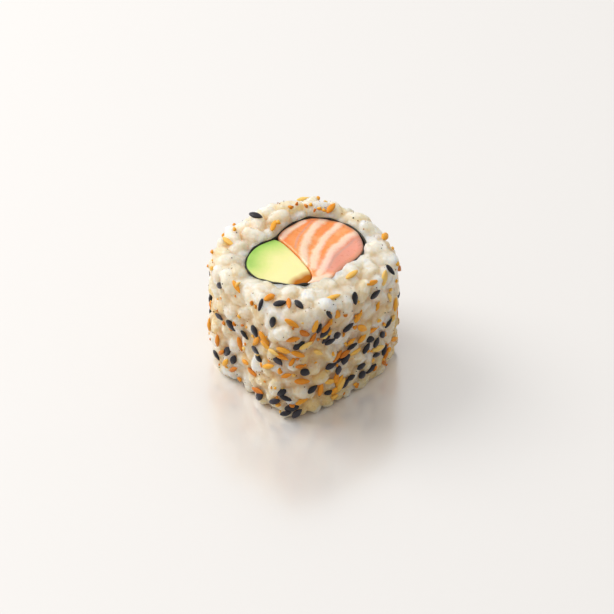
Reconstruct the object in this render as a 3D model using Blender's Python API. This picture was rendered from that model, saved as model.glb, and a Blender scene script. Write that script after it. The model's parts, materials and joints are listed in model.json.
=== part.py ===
"""One piece of an inside-out salmon and avocado roll, standing on a cut face.

Four solids share one frame: the rice ring with its grains and sesame seeds,
the nori sheet wrapped round the filling, the salmon and the avocado.
The origin is the middle of the underside, +Z runs up the roll, and the
side that is seen first faces -Y. Lengths are in metres.
"""

import math

import bmesh
import bpy
import numpy as np
from mathutils import Matrix, Vector
from mathutils.bvhtree import BVHTree

MM = 0.001

# The roll's outer skin: its radius every 20 degrees from +X, anticlockwise.
# The mat has pressed it flat on both sides of a corner that points at -100 degrees.
SKIN_RADII_MM = (
    (20.8, 20.9, 21.0, 21.1, 21.7, 21.0, 20.2, 21.0, 21.2)
    + (21.2, 19.2, 17.6, 18.7, 20.3, 18.7, 17.2, 17.1, 18.8)
)
ROLL_RADIUS = 20.6 * MM
ROLL_HEIGHT = 29.4 * MM
FOOT_DEG = -99.0  # where the front corner spreads towards the table
FOOT_WIDTH_DEG = 24.0
FOOT_SPREAD = 1.1 * MM
BARREL = 0.2 * MM
TOP_SHOULDER = 2.8 * MM
BOTTOM_SHOULDER = 1.8 * MM
TOP_WAVE = 0.35 * MM
TOP_WAVE_MIDDLE = 0.5
TOP_WAVE_LOBES = ((0.3, 2, 0.6), (0.2, 5, 0.0))  # share of the wave, lobes round the turn, phase
CREST_DEG = 98.0  # where the top stands higher, at the back
CREST_WIDTH_DEG = 62.0
CREST_HEIGHT = 1.6 * MM

# The filling's outline: its radius every 30 degrees from +X, anticlockwise
FILLING_CENTRE = (0.15 * MM, 3.4 * MM)
FILLING_RADII_MM = (12.6, 12.9, 12.0, 10.8, 8.5, 7.7, 11.3, 14.0, 12.7, 11.5, 11.0, 10.4)
FILLING_POINTS = 48
FILLING_ARC_STEPS = 40
FILLING_EASING = 3  # passes that ease its corners
FILLING_TOP = 28.1 * MM
PARTING_START_DEG = 148.0
PARTING_END_DEG = 267.0
PARTING_BULGE = 4.0 * MM
PARTING_RISE = 0.6  # power by which the bulge grows from the notch
PARTING_TURN = 8  # power by which it turns back to the nori at the front
PARTING_POINTS = 17
PARTING_CROWDING = 1.5  # power by which its points crowd towards the turn
CUT_EDGE = 0.5 * MM
CUT_EDGE_MIDDLE = 0.3  # share of it at the middle of its rounding

# The nori sheet, whose ends overlap at the right
NORI_THICKNESS = 0.4 * MM
NORI_TOP = 28.4 * MM
NORI_START_DEG = 6.0
NORI_OVERLAP_DEG = 22.0
NORI_LIFT_DEG = 36.0
FLAP_EASE_DEG = 10.0  # over which the rice closes in again past the outer end
NORI_POINTS = 60
TOUCH_GAP = 0.3 * MM

# Rice grains and the core that they are fused to
GRAIN_PLACES = 270  # over the whole skin, before those over the filling are left out
GRAIN_RADIUS = (1.30 * MM, 1.50 * MM)
GRAIN_HALF_AXIS = (1.25 * MM, 1.75 * MM)
GRAIN_SIDES = 5
GRAIN_SINK = 0.85 * MM
GRAIN_CUT = 0.35 * MM
GRAIN_CLOSENESS = 0.93
PACKING_ROUNDS = 160
SETTLING_ROUNDS = 25  # the last rounds, in which the grains stop pushing and come to rest
PUSH_SHARE = 0.22  # of an overlap, taken up by one round
SKIN_PULL = 0.6  # of the way back under the skin, in one round
WALL_CLEARANCE = 0.15 * MM
CORE_DEPTH = 1.0 * MM
CORE_FLOOR = 0.9 * MM
CORE_FOOT_INSET = 1.6 * MM  # of the core's lowest edge, further in than its side
CORE_SIDES = 54
CORE_TOP_EDGE = ((0.62, 0.0), (0.28, 0.3), (0.0, 0.85))  # inset and drop, as shares of the shoulder

# Sesame seeds on the side of the roll
SEED_COUNT = 70
SEED_LENGTH = 3.1 * MM
SEED_WIDTH = 1.9 * MM
SEED_THICKNESS = 1.0 * MM
SEED_EVENNESS = (0.86, 1.06)  # smallest and largest share of that size
SEED_SINK = 0.30  # share of the thickness that is pressed into the rice
SEED_TILT = 0.5  # how far a seed follows the slope of the grain under it
SEED_STRAY = 0.3  # radians by which a seed leaves its even place
SEEDS_ON_TOP = 4
SEED_RIM = (1.8 * MM, 3.4 * MM)  # how far inside the skin the seeds on top lie
SEED_LEVELS = (0.07, 0.93)  # lowest and highest share of the height on the side

RANDOM_SEED = 11
PROFILE_STEPS = 60  # points on each straight stretch of the skin's profile
GOLDEN_ANGLE = math.pi * (3 - math.sqrt(5))
ROUND_TO = 7  # decimals of a metre, so that every machine packs the grains alike

RICE = {"colour": (0.86, 0.83, 0.74, 1), "roughness": 0.35}
NORI = {"colour": (0.012, 0.014, 0.010, 1), "roughness": 0.55}
SALMON = {"colour": (0.90, 0.38, 0.20, 1), "roughness": 0.32}
AVOCADO = {"colour": (0.78, 0.82, 0.32, 1), "roughness": 0.45}


def clear_scene():
    for obj in list(bpy.data.objects):
        bpy.data.objects.remove(obj, do_unlink=True)


def material(name, finish):
    made = bpy.data.materials.new(name)
    made.use_nodes = True
    shader = made.node_tree.nodes["Principled BSDF"]
    shader.inputs["Base Color"].default_value = finish["colour"]
    shader.inputs["Roughness"].default_value = finish["roughness"]
    shader.inputs["Metallic"].default_value = 0.0
    made.diffuse_color = finish["colour"]
    return made


def finished_mesh(name, mesh):
    """The bmesh as mesh data, with its faces turned outwards."""
    bmesh.ops.recalc_face_normals(mesh, faces=mesh.faces)
    data = bpy.data.meshes.new(name)
    mesh.to_mesh(data)
    mesh.free()
    return data


def object_from_bmesh(name, mesh):
    obj = bpy.data.objects.new(name, finished_mesh(name, mesh))
    bpy.context.scene.collection.objects.link(obj)
    return obj


def angle_from(angle, centre_deg):
    """The angle from a bearing, between -pi and pi."""
    away = angle - math.radians(centre_deg)
    return (away + math.pi) % (2 * math.pi) - math.pi


def swell(angle, centre_deg, width_deg):
    """A smooth swelling that is 1 at a bearing and fades out to both sides of it."""
    away = angle_from(angle, centre_deg) / math.radians(width_deg)
    return np.exp(-away * away)


def skin_radius(angle, height):
    """Radius of the roll's skin: a slight barrel, with a foot at the front corner."""
    level = height / ROLL_HEIGHT
    foot = FOOT_SPREAD * swell(angle, FOOT_DEG, FOOT_WIDTH_DEG) * (1 - np.clip(level, 0, 1))
    return smooth_radius(SKIN_RADII_MM, angle) + foot - BARREL * (2 * level - 1) ** 2


def skin_top(angle):
    """Height of the top, which rises and falls a little round the roll."""
    wave = sum(share * np.cos(lobes * angle + phase) for share, lobes, phase in TOP_WAVE_LOBES)
    crest = CREST_HEIGHT * swell(angle, CREST_DEG, CREST_WIDTH_DEG)
    return ROLL_HEIGHT - TOP_WAVE * (TOP_WAVE_MIDDLE + wave) + crest


def smooth_radius(radii_mm, angle):
    """Radius at an angle, smooth through radii that are listed at even steps round the turn."""
    radii = np.array(radii_mm) * MM
    count = len(radii)
    at = (angle / (2 * math.pi) * count) % count
    cell = np.floor(at).astype(int)
    t = at - cell
    before, here, after, beyond = (radii[(cell + k) % count] for k in (-1, 0, 1, 2))
    return 0.5 * (
        2 * here
        + (after - before) * t
        + (2 * before - 5 * here + 4 * after - beyond) * t**2
        + (3 * here - before - 3 * after + beyond) * t**3
    )


def filling_point(angle, outward=0.0):
    """Points outside the filling's outline by a distance, measured square to it."""
    step = 0.01
    here, ahead, behind = (
        smooth_radius(FILLING_RADII_MM, a)[:, None] * np.stack([np.cos(a), np.sin(a)], axis=1)
        for a in (angle, angle + step, angle - step)
    )
    along = ahead - behind
    square = np.stack([along[:, 1], -along[:, 0]], axis=1)
    square /= np.linalg.norm(square, axis=1)[:, None]
    return here + square * np.reshape(outward, (-1, 1)) + np.array(FILLING_CENTRE)


def nori_lift(angle_along):
    """How far the sheet stands off the filling, by the angle travelled from its inner end."""
    lift_from = math.radians(360 - NORI_LIFT_DEG)
    share = np.clip((angle_along - lift_from) / math.radians(NORI_LIFT_DEG), 0, 1)
    return (NORI_THICKNESS + TOUCH_GAP) * share * share * (3 - 2 * share)


def nori_path():
    """(angle, stand-off) along the sheet, clockwise from its inner end."""
    travelled = np.linspace(0, math.radians(360 + NORI_OVERLAP_DEG), NORI_POINTS)
    return math.radians(NORI_START_DEG) - travelled, nori_lift(travelled)


def hole_point(angle, clearance):
    """The rice's inner wall: outside the nori everywhere, past its outer flap too."""
    travelled = (math.radians(NORI_START_DEG) - angle) % (2 * math.pi)
    ease = math.radians(FLAP_EASE_DEG)
    past_flap = travelled - math.radians(NORI_OVERLAP_DEG)
    flap = (NORI_THICKNESS + TOUCH_GAP) * np.clip(1 - past_flap / ease, 0, 1)
    lift = np.where(past_flap < ease, flap, nori_lift(travelled))
    return filling_point(angle, NORI_THICKNESS + lift + clearance)


def loft(rings, closed_rows=False):
    """A bmesh of quads through rings of equal length; its ends are capped, or joined in a loop."""
    mesh = bmesh.new()
    rows = [[mesh.verts.new(point) for point in ring] for ring in rings]
    pairs = list(zip(rows, rows[1:] + rows[:1])) if closed_rows else list(zip(rows, rows[1:]))
    for lower, upper in pairs:
        for i in range(len(lower)):
            j = (i + 1) % len(lower)
            mesh.faces.new((lower[i], lower[j], upper[j], upper[i]))
    if not closed_rows:
        mesh.faces.new(rows[0][::-1])
        mesh.faces.new(rows[-1])
    return mesh


def ring_at(outline, height):
    return [(x, y, height) for x, y in outline]


def inset(outline, distance):
    """The outline moved inwards, square to itself."""
    along = np.roll(outline, -1, axis=0) - np.roll(outline, 1, axis=0)
    inwards = np.stack([-along[:, 1], along[:, 0]], axis=1)
    inwards /= np.linalg.norm(inwards, axis=1)[:, None]
    return outline + inwards * distance


def rounded(outline, passes):
    """The outline with its corners eased and its points evenly spaced."""
    for _ in range(passes):
        outline = (np.roll(outline, 1, axis=0) + 2 * outline + np.roll(outline, -1, axis=0)) / 4
    loop = np.vstack([outline, outline[:1]])
    along = np.concatenate([[0], np.cumsum(np.linalg.norm(np.diff(loop, axis=0), axis=1))])
    at = np.linspace(0, along[-1], FILLING_POINTS, endpoint=False)
    return np.stack([np.interp(at, along, loop[:, k]) for k in range(2)], axis=1)


def parting_line(side_shift):
    """Where salmon and avocado meet: an arc from the notch to the front, bulging to the salmon."""
    ends = filling_point(np.radians([PARTING_START_DEG, PARTING_END_DEG]))
    chord = ends[1] - ends[0]
    across = np.array([-chord[1], chord[0]]) / np.linalg.norm(chord)
    share = 1 - np.linspace(1, 0, PARTING_POINTS)[:, None] ** PARTING_CROWDING
    bulge = PARTING_BULGE * share**PARTING_RISE * np.sqrt(1 - share**PARTING_TURN) + side_shift
    return ends[0] + chord * share + across * bulge


def filling_piece(name, first_deg, last_deg, parting, finish):
    """A strip of filling that runs from the underside to the top, with softened cut edges."""
    angle = np.radians(np.linspace(first_deg, last_deg, FILLING_ARC_STEPS))
    outline = np.vstack([filling_point(angle, -TOUCH_GAP)[1:-1], parting[1:-1]])
    outline = rounded(outline, FILLING_EASING)
    mesh = loft(
        [
            ring_at(outline, 0.0),
            ring_at(outline, FILLING_TOP - CUT_EDGE),
            ring_at(inset(outline, CUT_EDGE * CUT_EDGE_MIDDLE), FILLING_TOP - CUT_EDGE * CUT_EDGE_MIDDLE),
            ring_at(inset(outline, CUT_EDGE), FILLING_TOP),
        ]
    )
    obj = object_from_bmesh(name, mesh)
    obj.data.materials.append(material(name, finish))
    return obj


def salmon():
    return filling_piece(
        "salmon",
        PARTING_END_DEG - 360,
        PARTING_START_DEG,
        parting_line(TOUCH_GAP / 2),
        SALMON,
    )


def avocado():
    return filling_piece(
        "avocado",
        PARTING_START_DEG,
        PARTING_END_DEG,
        parting_line(-TOUCH_GAP / 2)[::-1],
        AVOCADO,
    )


def nori():
    """The sheet as a band between two walls, closed at its two ends, top and bottom."""
    angle, lift = nori_path()
    inner = filling_point(angle, lift)
    outer = filling_point(angle, lift + NORI_THICKNESS)
    section = np.vstack([inner, outer[::-1]])
    mesh = bmesh.new()
    low = [mesh.verts.new(p) for p in ring_at(section, 0.0)]
    high = [mesh.verts.new(p) for p in ring_at(section, NORI_TOP)]
    count = len(section)
    for i in range(count):
        j = (i + 1) % count
        mesh.faces.new((low[i], low[j], high[j], high[i]))
    for i in range(len(angle) - 1):
        a, b, c, d = i, i + 1, count - 2 - i, count - 1 - i
        mesh.faces.new((low[a], low[b], low[c], low[d]))
        mesh.faces.new((high[a], high[b], high[c], high[d]))
    obj = object_from_bmesh("nori", mesh)
    obj.data.materials.append(material("nori", NORI))
    return obj


def rice_core():
    """The ring of pressed rice under the grains, with the hole that the nori stands in."""
    angle = np.linspace(0, 2 * math.pi, CORE_SIDES, endpoint=False)
    top = ROLL_HEIGHT - TOP_WAVE - CORE_DEPTH
    rows = [(CORE_DEPTH + TOP_SHOULDER * i, top - TOP_SHOULDER * d) for i, d in CORE_TOP_EDGE]
    rows += [
        (CORE_DEPTH, CORE_FLOOR + BOTTOM_SHOULDER),
        (CORE_DEPTH + CORE_FOOT_INSET, CORE_FLOOR),
    ]
    rings = []
    for depth, height in rows:
        radius = skin_radius(angle, height) - depth
        rings.append(ring_at(np.stack([radius * np.cos(angle), radius * np.sin(angle)], 1), height))
    wall = hole_point(angle, TOUCH_GAP)
    rings.append(ring_at(wall, CORE_FLOOR))
    rings.append(ring_at(wall, top))
    return object_from_bmesh("rice", loft(rings, closed_rows=True))


def skin_depth(points):
    """How far points lie under the outer skin, with its top and bottom shoulders rounded."""
    angle = np.arctan2(points[:, 1], points[:, 0])
    side = np.hypot(points[:, 0], points[:, 1]) - skin_radius(angle, points[:, 2])
    upper = rounded_corner(side, points[:, 2] - skin_top(angle), TOP_SHOULDER)
    lower = rounded_corner(side, -GRAIN_CUT - points[:, 2], BOTTOM_SHOULDER)
    return -np.maximum(upper, lower)


def rounded_corner(a, b, radius):
    """Distance outside the corner of two walls, rounded to a radius."""
    outside = np.hypot(np.maximum(a + radius, 0), np.maximum(b + radius, 0))
    return outside - radius + np.minimum(np.maximum(a, b) + radius, 0)


def hole_clearance(points):
    """How far points lie outside the rice's inner wall."""
    offset = points[:, :2] - np.array(FILLING_CENTRE)
    angle = np.arctan2(offset[:, 1], offset[:, 0])
    wall = hole_point(angle, TOUCH_GAP) - np.array(FILLING_CENTRE)
    return np.hypot(offset[:, 0], offset[:, 1]) - np.hypot(wall[:, 0], wall[:, 1])


def clear_of_hole(points, radius):
    """The move that takes balls of a radius clear of the rice's inner wall."""
    cramped = np.maximum(radius + WALL_CLEARANCE - hole_clearance(points), 0)
    return slope(hole_clearance, points) * cramped[:, None]


def slope(field, points):
    """Unit direction in which a field of distances grows."""
    step = 0.05 * MM
    direction = np.stack([field(points + way) - field(points - way) for way in np.eye(3) * step], 1)
    return direction / np.maximum(np.linalg.norm(direction, axis=1), 1e-12)[:, None]


def spread_over_skin():
    """Points spread evenly over the top, the side and the underside, leaving out the filling."""
    profile = np.array(
        [
            (0, ROLL_HEIGHT),
            (ROLL_RADIUS - TOP_SHOULDER / 2, ROLL_HEIGHT),
            (ROLL_RADIUS, ROLL_HEIGHT - TOP_SHOULDER / 2),
            (ROLL_RADIUS, BOTTOM_SHOULDER / 2),
            (ROLL_RADIUS - BOTTOM_SHOULDER / 2, 0),
            (0, 0),
        ]
    )
    share = np.linspace(0, 1, PROFILE_STEPS, endpoint=False)[:, None]
    line = np.vstack([a + (b - a) * share for a, b in zip(profile, profile[1:])] + [profile[-1:]])
    middle = (line[1:, 0] + line[:-1, 0]) / 2
    area = np.concatenate([[0], np.cumsum(middle * np.linalg.norm(np.diff(line, axis=0), axis=1))])
    at = (np.arange(GRAIN_PLACES) + 0.5) / GRAIN_PLACES * area[-1]
    radius, height = (np.interp(at, area, line[:, k]) for k in range(2))
    angle = np.arange(GRAIN_PLACES) * GOLDEN_ANGLE
    points = np.stack([radius * np.cos(angle), radius * np.sin(angle), height], axis=1)
    return points[hole_clearance(points) > 0]


def pack_grains(random):
    """Lets the grains slide apart under the skin: (one end, other end, grain radius) of each."""
    centre = spread_over_skin()
    count = len(centre)
    radius = random.uniform(*GRAIN_RADIUS, count)
    half = random.uniform(*GRAIN_HALF_AXIS, count)
    sink = random.uniform(0, GRAIN_SINK, (2, count))
    direction = random.normal(size=(count, 3))
    outward = -slope(skin_depth, centre)
    direction -= outward * (direction * outward).sum(1)[:, None]
    direction /= np.linalg.norm(direction, axis=1)[:, None]
    ends = np.stack([centre + direction * half[:, None], centre - direction * half[:, None]])
    owner = np.tile(np.arange(count), 3)
    reach = GRAIN_CLOSENESS * (radius[owner][:, None] + radius[owner][None, :])
    reach[owner[:, None] == owner[None, :]] = 0
    for done in range(PACKING_ROUNDS):
        force = PUSH_SHARE * min(1, (PACKING_ROUNDS - done) / SETTLING_ROUNDS)
        balls = np.concatenate([ends[0], ends[1], (ends[0] + ends[1]) / 2])
        gap = balls[:, None, :] - balls[None, :, :]
        apart = np.sqrt((gap * gap).sum(2)) + 1e-9
        push = np.maximum(reach - apart, 0) / apart
        move = (gap * push[:, :, None]).sum(1) * force
        ends[0] += move[:count] + move[2 * count :] / 2
        ends[1] += move[count : 2 * count] + move[2 * count :] / 2
        for end in (0, 1):
            error = skin_depth(ends[end]) - radius - sink[end]
            ends[end] -= slope(skin_depth, ends[end]) * (error * SKIN_PULL)[:, None]
            ends[end] += clear_of_hole(ends[end], radius)
        middle = (ends[0] + ends[1]) / 2
        middle += clear_of_hole(middle, radius)
        axis = ends[0] - ends[1]
        axis *= (half / np.linalg.norm(axis, axis=1))[:, None]
        ends = np.round(np.stack([middle + axis, middle - axis]), ROUND_TO)
    return ends[0], ends[1], radius


def grain_mesh():
    """A grain of unit half-length along X and unit half-width, with few sides."""
    mesh = bmesh.new()
    tips = [mesh.verts.new((x, 0, 0)) for x in (-1, 1)]
    rings = []
    for x, r, twist in ((-0.58, 0.94, 0.0), (0.58, 0.94, 0.5)):
        ring = []
        for k in range(GRAIN_SIDES):
            turn = 2 * math.pi * (k + twist) / GRAIN_SIDES
            ring.append(mesh.verts.new((x, r * math.cos(turn), r * math.sin(turn))))
        rings.append(ring)
    for k in range(GRAIN_SIDES):
        j = (k + 1) % GRAIN_SIDES
        mesh.faces.new((tips[0], rings[0][k], rings[0][j]))
        mesh.faces.new((rings[-1][k], tips[1], rings[-1][j]))
        mesh.faces.new((rings[0][k], rings[1][k], rings[0][j]))
        mesh.faces.new((rings[1][k], rings[1][j], rings[0][j]))
    return finished_mesh("grain", mesh)


def seed_mesh():
    """A sesame seed of unit length, width and thickness: a flat drop with a ridge, pointed at +X."""
    outline = ((0.5, 0), (0.05, 0.46), (-0.42, 0.32), (-0.42, -0.32), (0.05, -0.46))
    mesh = bmesh.new()
    rim = [mesh.verts.new((x, y, 0)) for x, y in outline]
    crowns = [mesh.verts.new((-0.08, 0, z)) for z in (-0.5, 0.5)]
    for k in range(len(rim)):
        for crown in crowns:
            mesh.faces.new((crown, rim[k], rim[(k + 1) % len(rim)]))
    return finished_mesh("seed", mesh)


def placed(name, data, collection, centre, along, outward, size):
    """An object with +X along one direction and +Z as near another as it can be."""
    x = Vector(along).normalized()
    z = Vector(outward)
    z = (z - x * z.dot(x)).normalized()
    y = z.cross(x)
    turn = Matrix((x, y, z)).transposed().to_4x4()
    obj = bpy.data.objects.new(name, data)
    obj.matrix_world = Matrix.Translation(centre) @ turn @ Matrix.Diagonal((*size, 1))
    collection.objects.link(obj)


def place_grains(random, collection):
    first, second, radius = pack_grains(random)
    data = grain_mesh()
    centre = (first + second) / 2
    outward = -slope(skin_depth, centre)
    for i in range(len(centre)):
        half_length = np.linalg.norm(first[i] - second[i]) / 2 + radius[i]
        size = (half_length, radius[i], radius[i])
        placed(f"grain_{i:03d}", data, collection, centre[i], first[i] - second[i], outward[i], size)


def surface_tree(objects):
    """The grains and the core as one surface, for laying seeds on."""
    bpy.context.view_layer.update()
    points, faces = [], []
    for obj in objects:
        start = len(points)
        points += [obj.matrix_world @ v.co for v in obj.data.vertices]
        faces += [[start + i for i in p.vertices] for p in obj.data.polygons]
    return BVHTree.FromPolygons(points, faces)


def seed_aim(number, random):
    """Where a seed comes from and its way to the roll: from above on the top, or from outside."""
    angle = number * GOLDEN_ANGLE + random.uniform(-SEED_STRAY, SEED_STRAY)
    bearing = Vector((math.cos(angle), math.sin(angle), 0))
    if number < SEEDS_ON_TOP:
        rim = ROLL_RADIUS - random.uniform(*SEED_RIM)
        return bearing * rim + Vector((0, 0, 2 * ROLL_HEIGHT)), Vector((0, 0, -1))
    share = (number - SEEDS_ON_TOP + 0.5) / (SEED_COUNT - SEEDS_ON_TOP)
    height = (SEED_LEVELS[0] + (SEED_LEVELS[1] - SEED_LEVELS[0]) * share) * ROLL_HEIGHT
    return bearing * 2 * ROLL_RADIUS + Vector((0, 0, height)), -bearing


def place_seeds(random, collection, tree):
    """Lays seeds flat on the rice, each turned its own way."""
    data = seed_mesh()
    for i in range(SEED_COUNT):
        start, aim = seed_aim(i, random)
        spot, normal, _, _ = tree.ray_cast(start, aim)
        normal = (normal * SEED_TILT - aim).normalized()
        spin = random.uniform(0, 2 * math.pi)
        flat = normal.orthogonal().normalized()
        along = flat * math.cos(spin) + normal.cross(flat) * math.sin(spin)
        size = Vector((SEED_LENGTH, SEED_WIDTH, SEED_THICKNESS)) * random.uniform(*SEED_EVENNESS)
        centre = spot + normal * (0.5 - SEED_SINK) * size.z
        placed(f"seed_{i:03d}", data, collection, centre, along, normal, size)


def combine(base, operation, **operand):
    """Applies a Boolean to the base object, by the solver that copes with hundreds of pieces."""
    modifier = base.modifiers.new(operation.lower(), "BOOLEAN")
    modifier.operation = operation
    modifier.solver = "MANIFOLD"
    for key, value in operand.items():
        setattr(modifier, key, value)
    graph = bpy.context.evaluated_depsgraph_get()
    data = bpy.data.meshes.new_from_object(base.evaluated_get(graph))
    base.modifiers.clear()
    base.data = data


def keep_outer_shell(obj):
    """Drops loose scraps, and fills hollows that the fusing has sealed."""
    mesh = bmesh.new()
    mesh.from_mesh(obj.data)
    left = set(mesh.verts)
    shells = []
    while left:
        shell, edge = set(), [left.pop()]
        while edge:
            vert = edge.pop()
            shell.add(vert)
            for link in vert.link_edges:
                other = link.other_vert(vert)
                if other in left:
                    left.remove(other)
                    edge.append(other)
        shells.append(shell)
    largest = max(shells, key=len)
    bmesh.ops.delete(mesh, geom=[v for s in shells if s is not largest for v in s], context="VERTS")
    mesh.to_mesh(obj.data)
    mesh.free()


def table_cutter():
    """A slab under the roll, which cuts the lowest grains flat."""
    mesh = bmesh.new()
    bmesh.ops.create_cube(mesh, size=1.0)
    cutter = object_from_bmesh("table_cutter", mesh)
    depth = ROLL_HEIGHT / 4
    cutter.matrix_world = Matrix.Translation((0, 0, -depth / 2)) @ Matrix.Diagonal(
        (4 * ROLL_RADIUS, 4 * ROLL_RADIUS, depth, 1)
    )
    return cutter


def rice():
    """The ring with every grain and seed fused on, as one solid."""
    random = np.random.default_rng(RANDOM_SEED)
    base = rice_core()
    loose = bpy.data.collections.new("loose_pieces")
    bpy.context.scene.collection.children.link(loose)
    place_grains(random, loose)
    place_seeds(random, loose, surface_tree([base, *loose.objects]))
    combine(base, "UNION", operand_type="COLLECTION", collection=loose)
    for obj in list(loose.objects):
        bpy.data.objects.remove(obj, do_unlink=True)
    bpy.data.collections.remove(loose)
    cutter = table_cutter()
    combine(base, "DIFFERENCE", operand_type="OBJECT", object=cutter)
    bpy.data.objects.remove(cutter, do_unlink=True)
    keep_outer_shell(base)
    base.data.materials.clear()
    base.data.materials.append(material("rice", RICE))
    return base


def main():
    clear_scene()
    roll = bpy.data.objects.new("roll", None)
    bpy.context.scene.collection.objects.link(roll)
    for piece in (rice(), nori(), salmon(), avocado()):
        piece.parent = roll


main()
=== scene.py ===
"""The looks of one piece of an inside-out salmon and avocado roll.

All lengths are in metres, +Z runs up the roll and the seen side faces -Y.
The rice is made of single grains over a core, packed as they are in the solids.
Seeds that the photograph shows are named by their pixel there, and each is laid
on the rice that this pixel falls on. The other sides, and the finest bits and
specks on every side, are strewn by a rule.
"""

import json
import math

import bpy
import numpy as np
from mathutils import Matrix, Vector, noise
from mathutils.bvhtree import BVHTree

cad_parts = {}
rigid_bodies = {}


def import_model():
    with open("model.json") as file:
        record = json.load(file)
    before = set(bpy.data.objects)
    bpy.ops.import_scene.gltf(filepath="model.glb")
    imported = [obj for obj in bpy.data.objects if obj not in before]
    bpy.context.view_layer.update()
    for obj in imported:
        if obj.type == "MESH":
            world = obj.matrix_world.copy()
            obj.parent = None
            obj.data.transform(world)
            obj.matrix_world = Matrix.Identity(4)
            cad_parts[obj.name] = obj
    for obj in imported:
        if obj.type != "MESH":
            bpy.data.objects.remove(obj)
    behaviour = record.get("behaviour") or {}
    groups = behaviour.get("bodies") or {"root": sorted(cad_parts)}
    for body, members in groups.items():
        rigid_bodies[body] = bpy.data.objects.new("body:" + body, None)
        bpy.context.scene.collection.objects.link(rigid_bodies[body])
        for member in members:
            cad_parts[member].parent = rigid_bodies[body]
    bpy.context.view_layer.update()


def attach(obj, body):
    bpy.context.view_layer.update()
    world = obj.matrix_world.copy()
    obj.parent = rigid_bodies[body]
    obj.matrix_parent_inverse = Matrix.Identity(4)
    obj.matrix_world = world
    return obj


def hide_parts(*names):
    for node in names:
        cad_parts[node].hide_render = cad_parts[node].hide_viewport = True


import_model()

MM = 0.001

# The photograph's view
FRAME_PIXELS = 614
SENSOR_MM = 36.0
VIEW_ELEVATION_DEG = 40.0
VIEW_DISTANCE = 0.64
PIXELS_PER_METRE = 4600.0  # at the middle of the roll
VIEW_TARGET = Vector((0.6 * MM, 0.0, 14.75 * MM))

# The light
BRIGHT_SIDE = (-0.3, 0.5, 0.85)
ROOM_LEVELS = (0.0, 0.94)
ROOM_COLOUR = (1.0, 0.985, 0.965, 1)
WINDOW_PLACE = (-0.52, 0.22, 0.52)
WINDOW_SIZE = 0.42
WINDOW_WATTS = 3.7

# The roll's outer skin: its radius every 20 degrees from +X, anticlockwise.
# The mat has pressed it flat on both sides of a corner that points at -100 degrees.
SKIN_RADII_MM = (
    (20.8, 20.9, 21.0, 21.1, 21.7, 21.0, 20.2, 21.0, 21.2)
    + (21.2, 19.2, 17.6, 18.7, 20.3, 18.7, 17.2, 17.1, 18.8)
)
ROLL_RADIUS = 20.6 * MM
ROLL_HEIGHT = 29.4 * MM
FOOT_DEG = -99.0  # where the front corner spreads towards the table
FOOT_WIDTH_DEG = 24.0
FOOT_SPREAD = 1.1 * MM
BARREL = 0.2 * MM
TOP_SHOULDER = 2.8 * MM
BOTTOM_SHOULDER = 1.8 * MM
TOP_WAVE = 0.35 * MM
TOP_WAVE_MIDDLE = 0.5
TOP_WAVE_LOBES = ((0.3, 2, 0.6), (0.2, 5, 0.0))  # share of the wave, lobes round the turn, phase
CREST_DEG = 98.0  # where the top stands higher, at the back
CREST_WIDTH_DEG = 62.0
CREST_HEIGHT = 1.6 * MM

# The filling's outline: its radius every 30 degrees from +X, anticlockwise
FILLING_CENTRE = (0.15 * MM, 3.4 * MM)
FILLING_RADII_MM = (12.6, 12.9, 12.0, 10.8, 8.5, 7.7, 11.3, 14.0, 12.7, 11.5, 11.0, 10.4)
FILLING_TOP = 28.1 * MM
PARTING_START_DEG = 148.0
PARTING_END_DEG = 267.0
PARTING_BULGE = 4.0 * MM
PARTING_RISE = 0.6
PARTING_TURN = 8
PARTING_STEPS = 33
PARTING_CROWDING = 1.5
PARTING_GAP = 0.05 * MM  # on each side
FILLING_STEPS = 90
OUTLINE_POINTS = 110
FILLING_EDGE = 0.35 * MM
FILLING_VOXEL = 0.28 * MM
FACE_DEPTH = 1.2 * MM
FACE_FADE = 1.0 * MM
FACE_UNEVENNESS = 0.25 * MM

# The nori sheet
NORI_THICKNESS = 0.4 * MM
NORI_TOP = 28.4 * MM
SHEET_THICKNESS = 0.26 * MM  # of the sheet itself, which the solid makes thicker
SHEET_LIFT = 0.5  # share of the solid flap's stand-off
SHEET_STEPS = (260, 40)
SHEET_CRUMPLE = 0.05 * MM
SHEET_RAGGED = 0.4 * MM
SHEET_LOWER = 0.36 * MM
NORI_START_DEG = 6.0
NORI_OVERLAP_DEG = 22.0
NORI_LIFT_DEG = 36.0
FLAP_EASE_DEG = 10.0
TOUCH_GAP = 0.3 * MM

# The packing of the grains, as in the solids
GRAIN_PLACES = 270
GRAIN_RADIUS = (1.30 * MM, 1.50 * MM)
GRAIN_HALF_AXIS = (1.25 * MM, 1.75 * MM)
GRAIN_SINK = 0.85 * MM
GRAIN_CUT = 0.35 * MM
GRAIN_CLOSENESS = 0.93
PACKING_ROUNDS = 160
SETTLING_ROUNDS = 25
PUSH_SHARE = 0.22
SKIN_PULL = 0.6
PROFILE_STEPS = 60
WALL_CLEARANCE = 0.15 * MM
GRAIN_SEED = 11
GOLDEN_ANGLE = math.pi * (3 - math.sqrt(5))
ROUND_TO = 7

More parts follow.
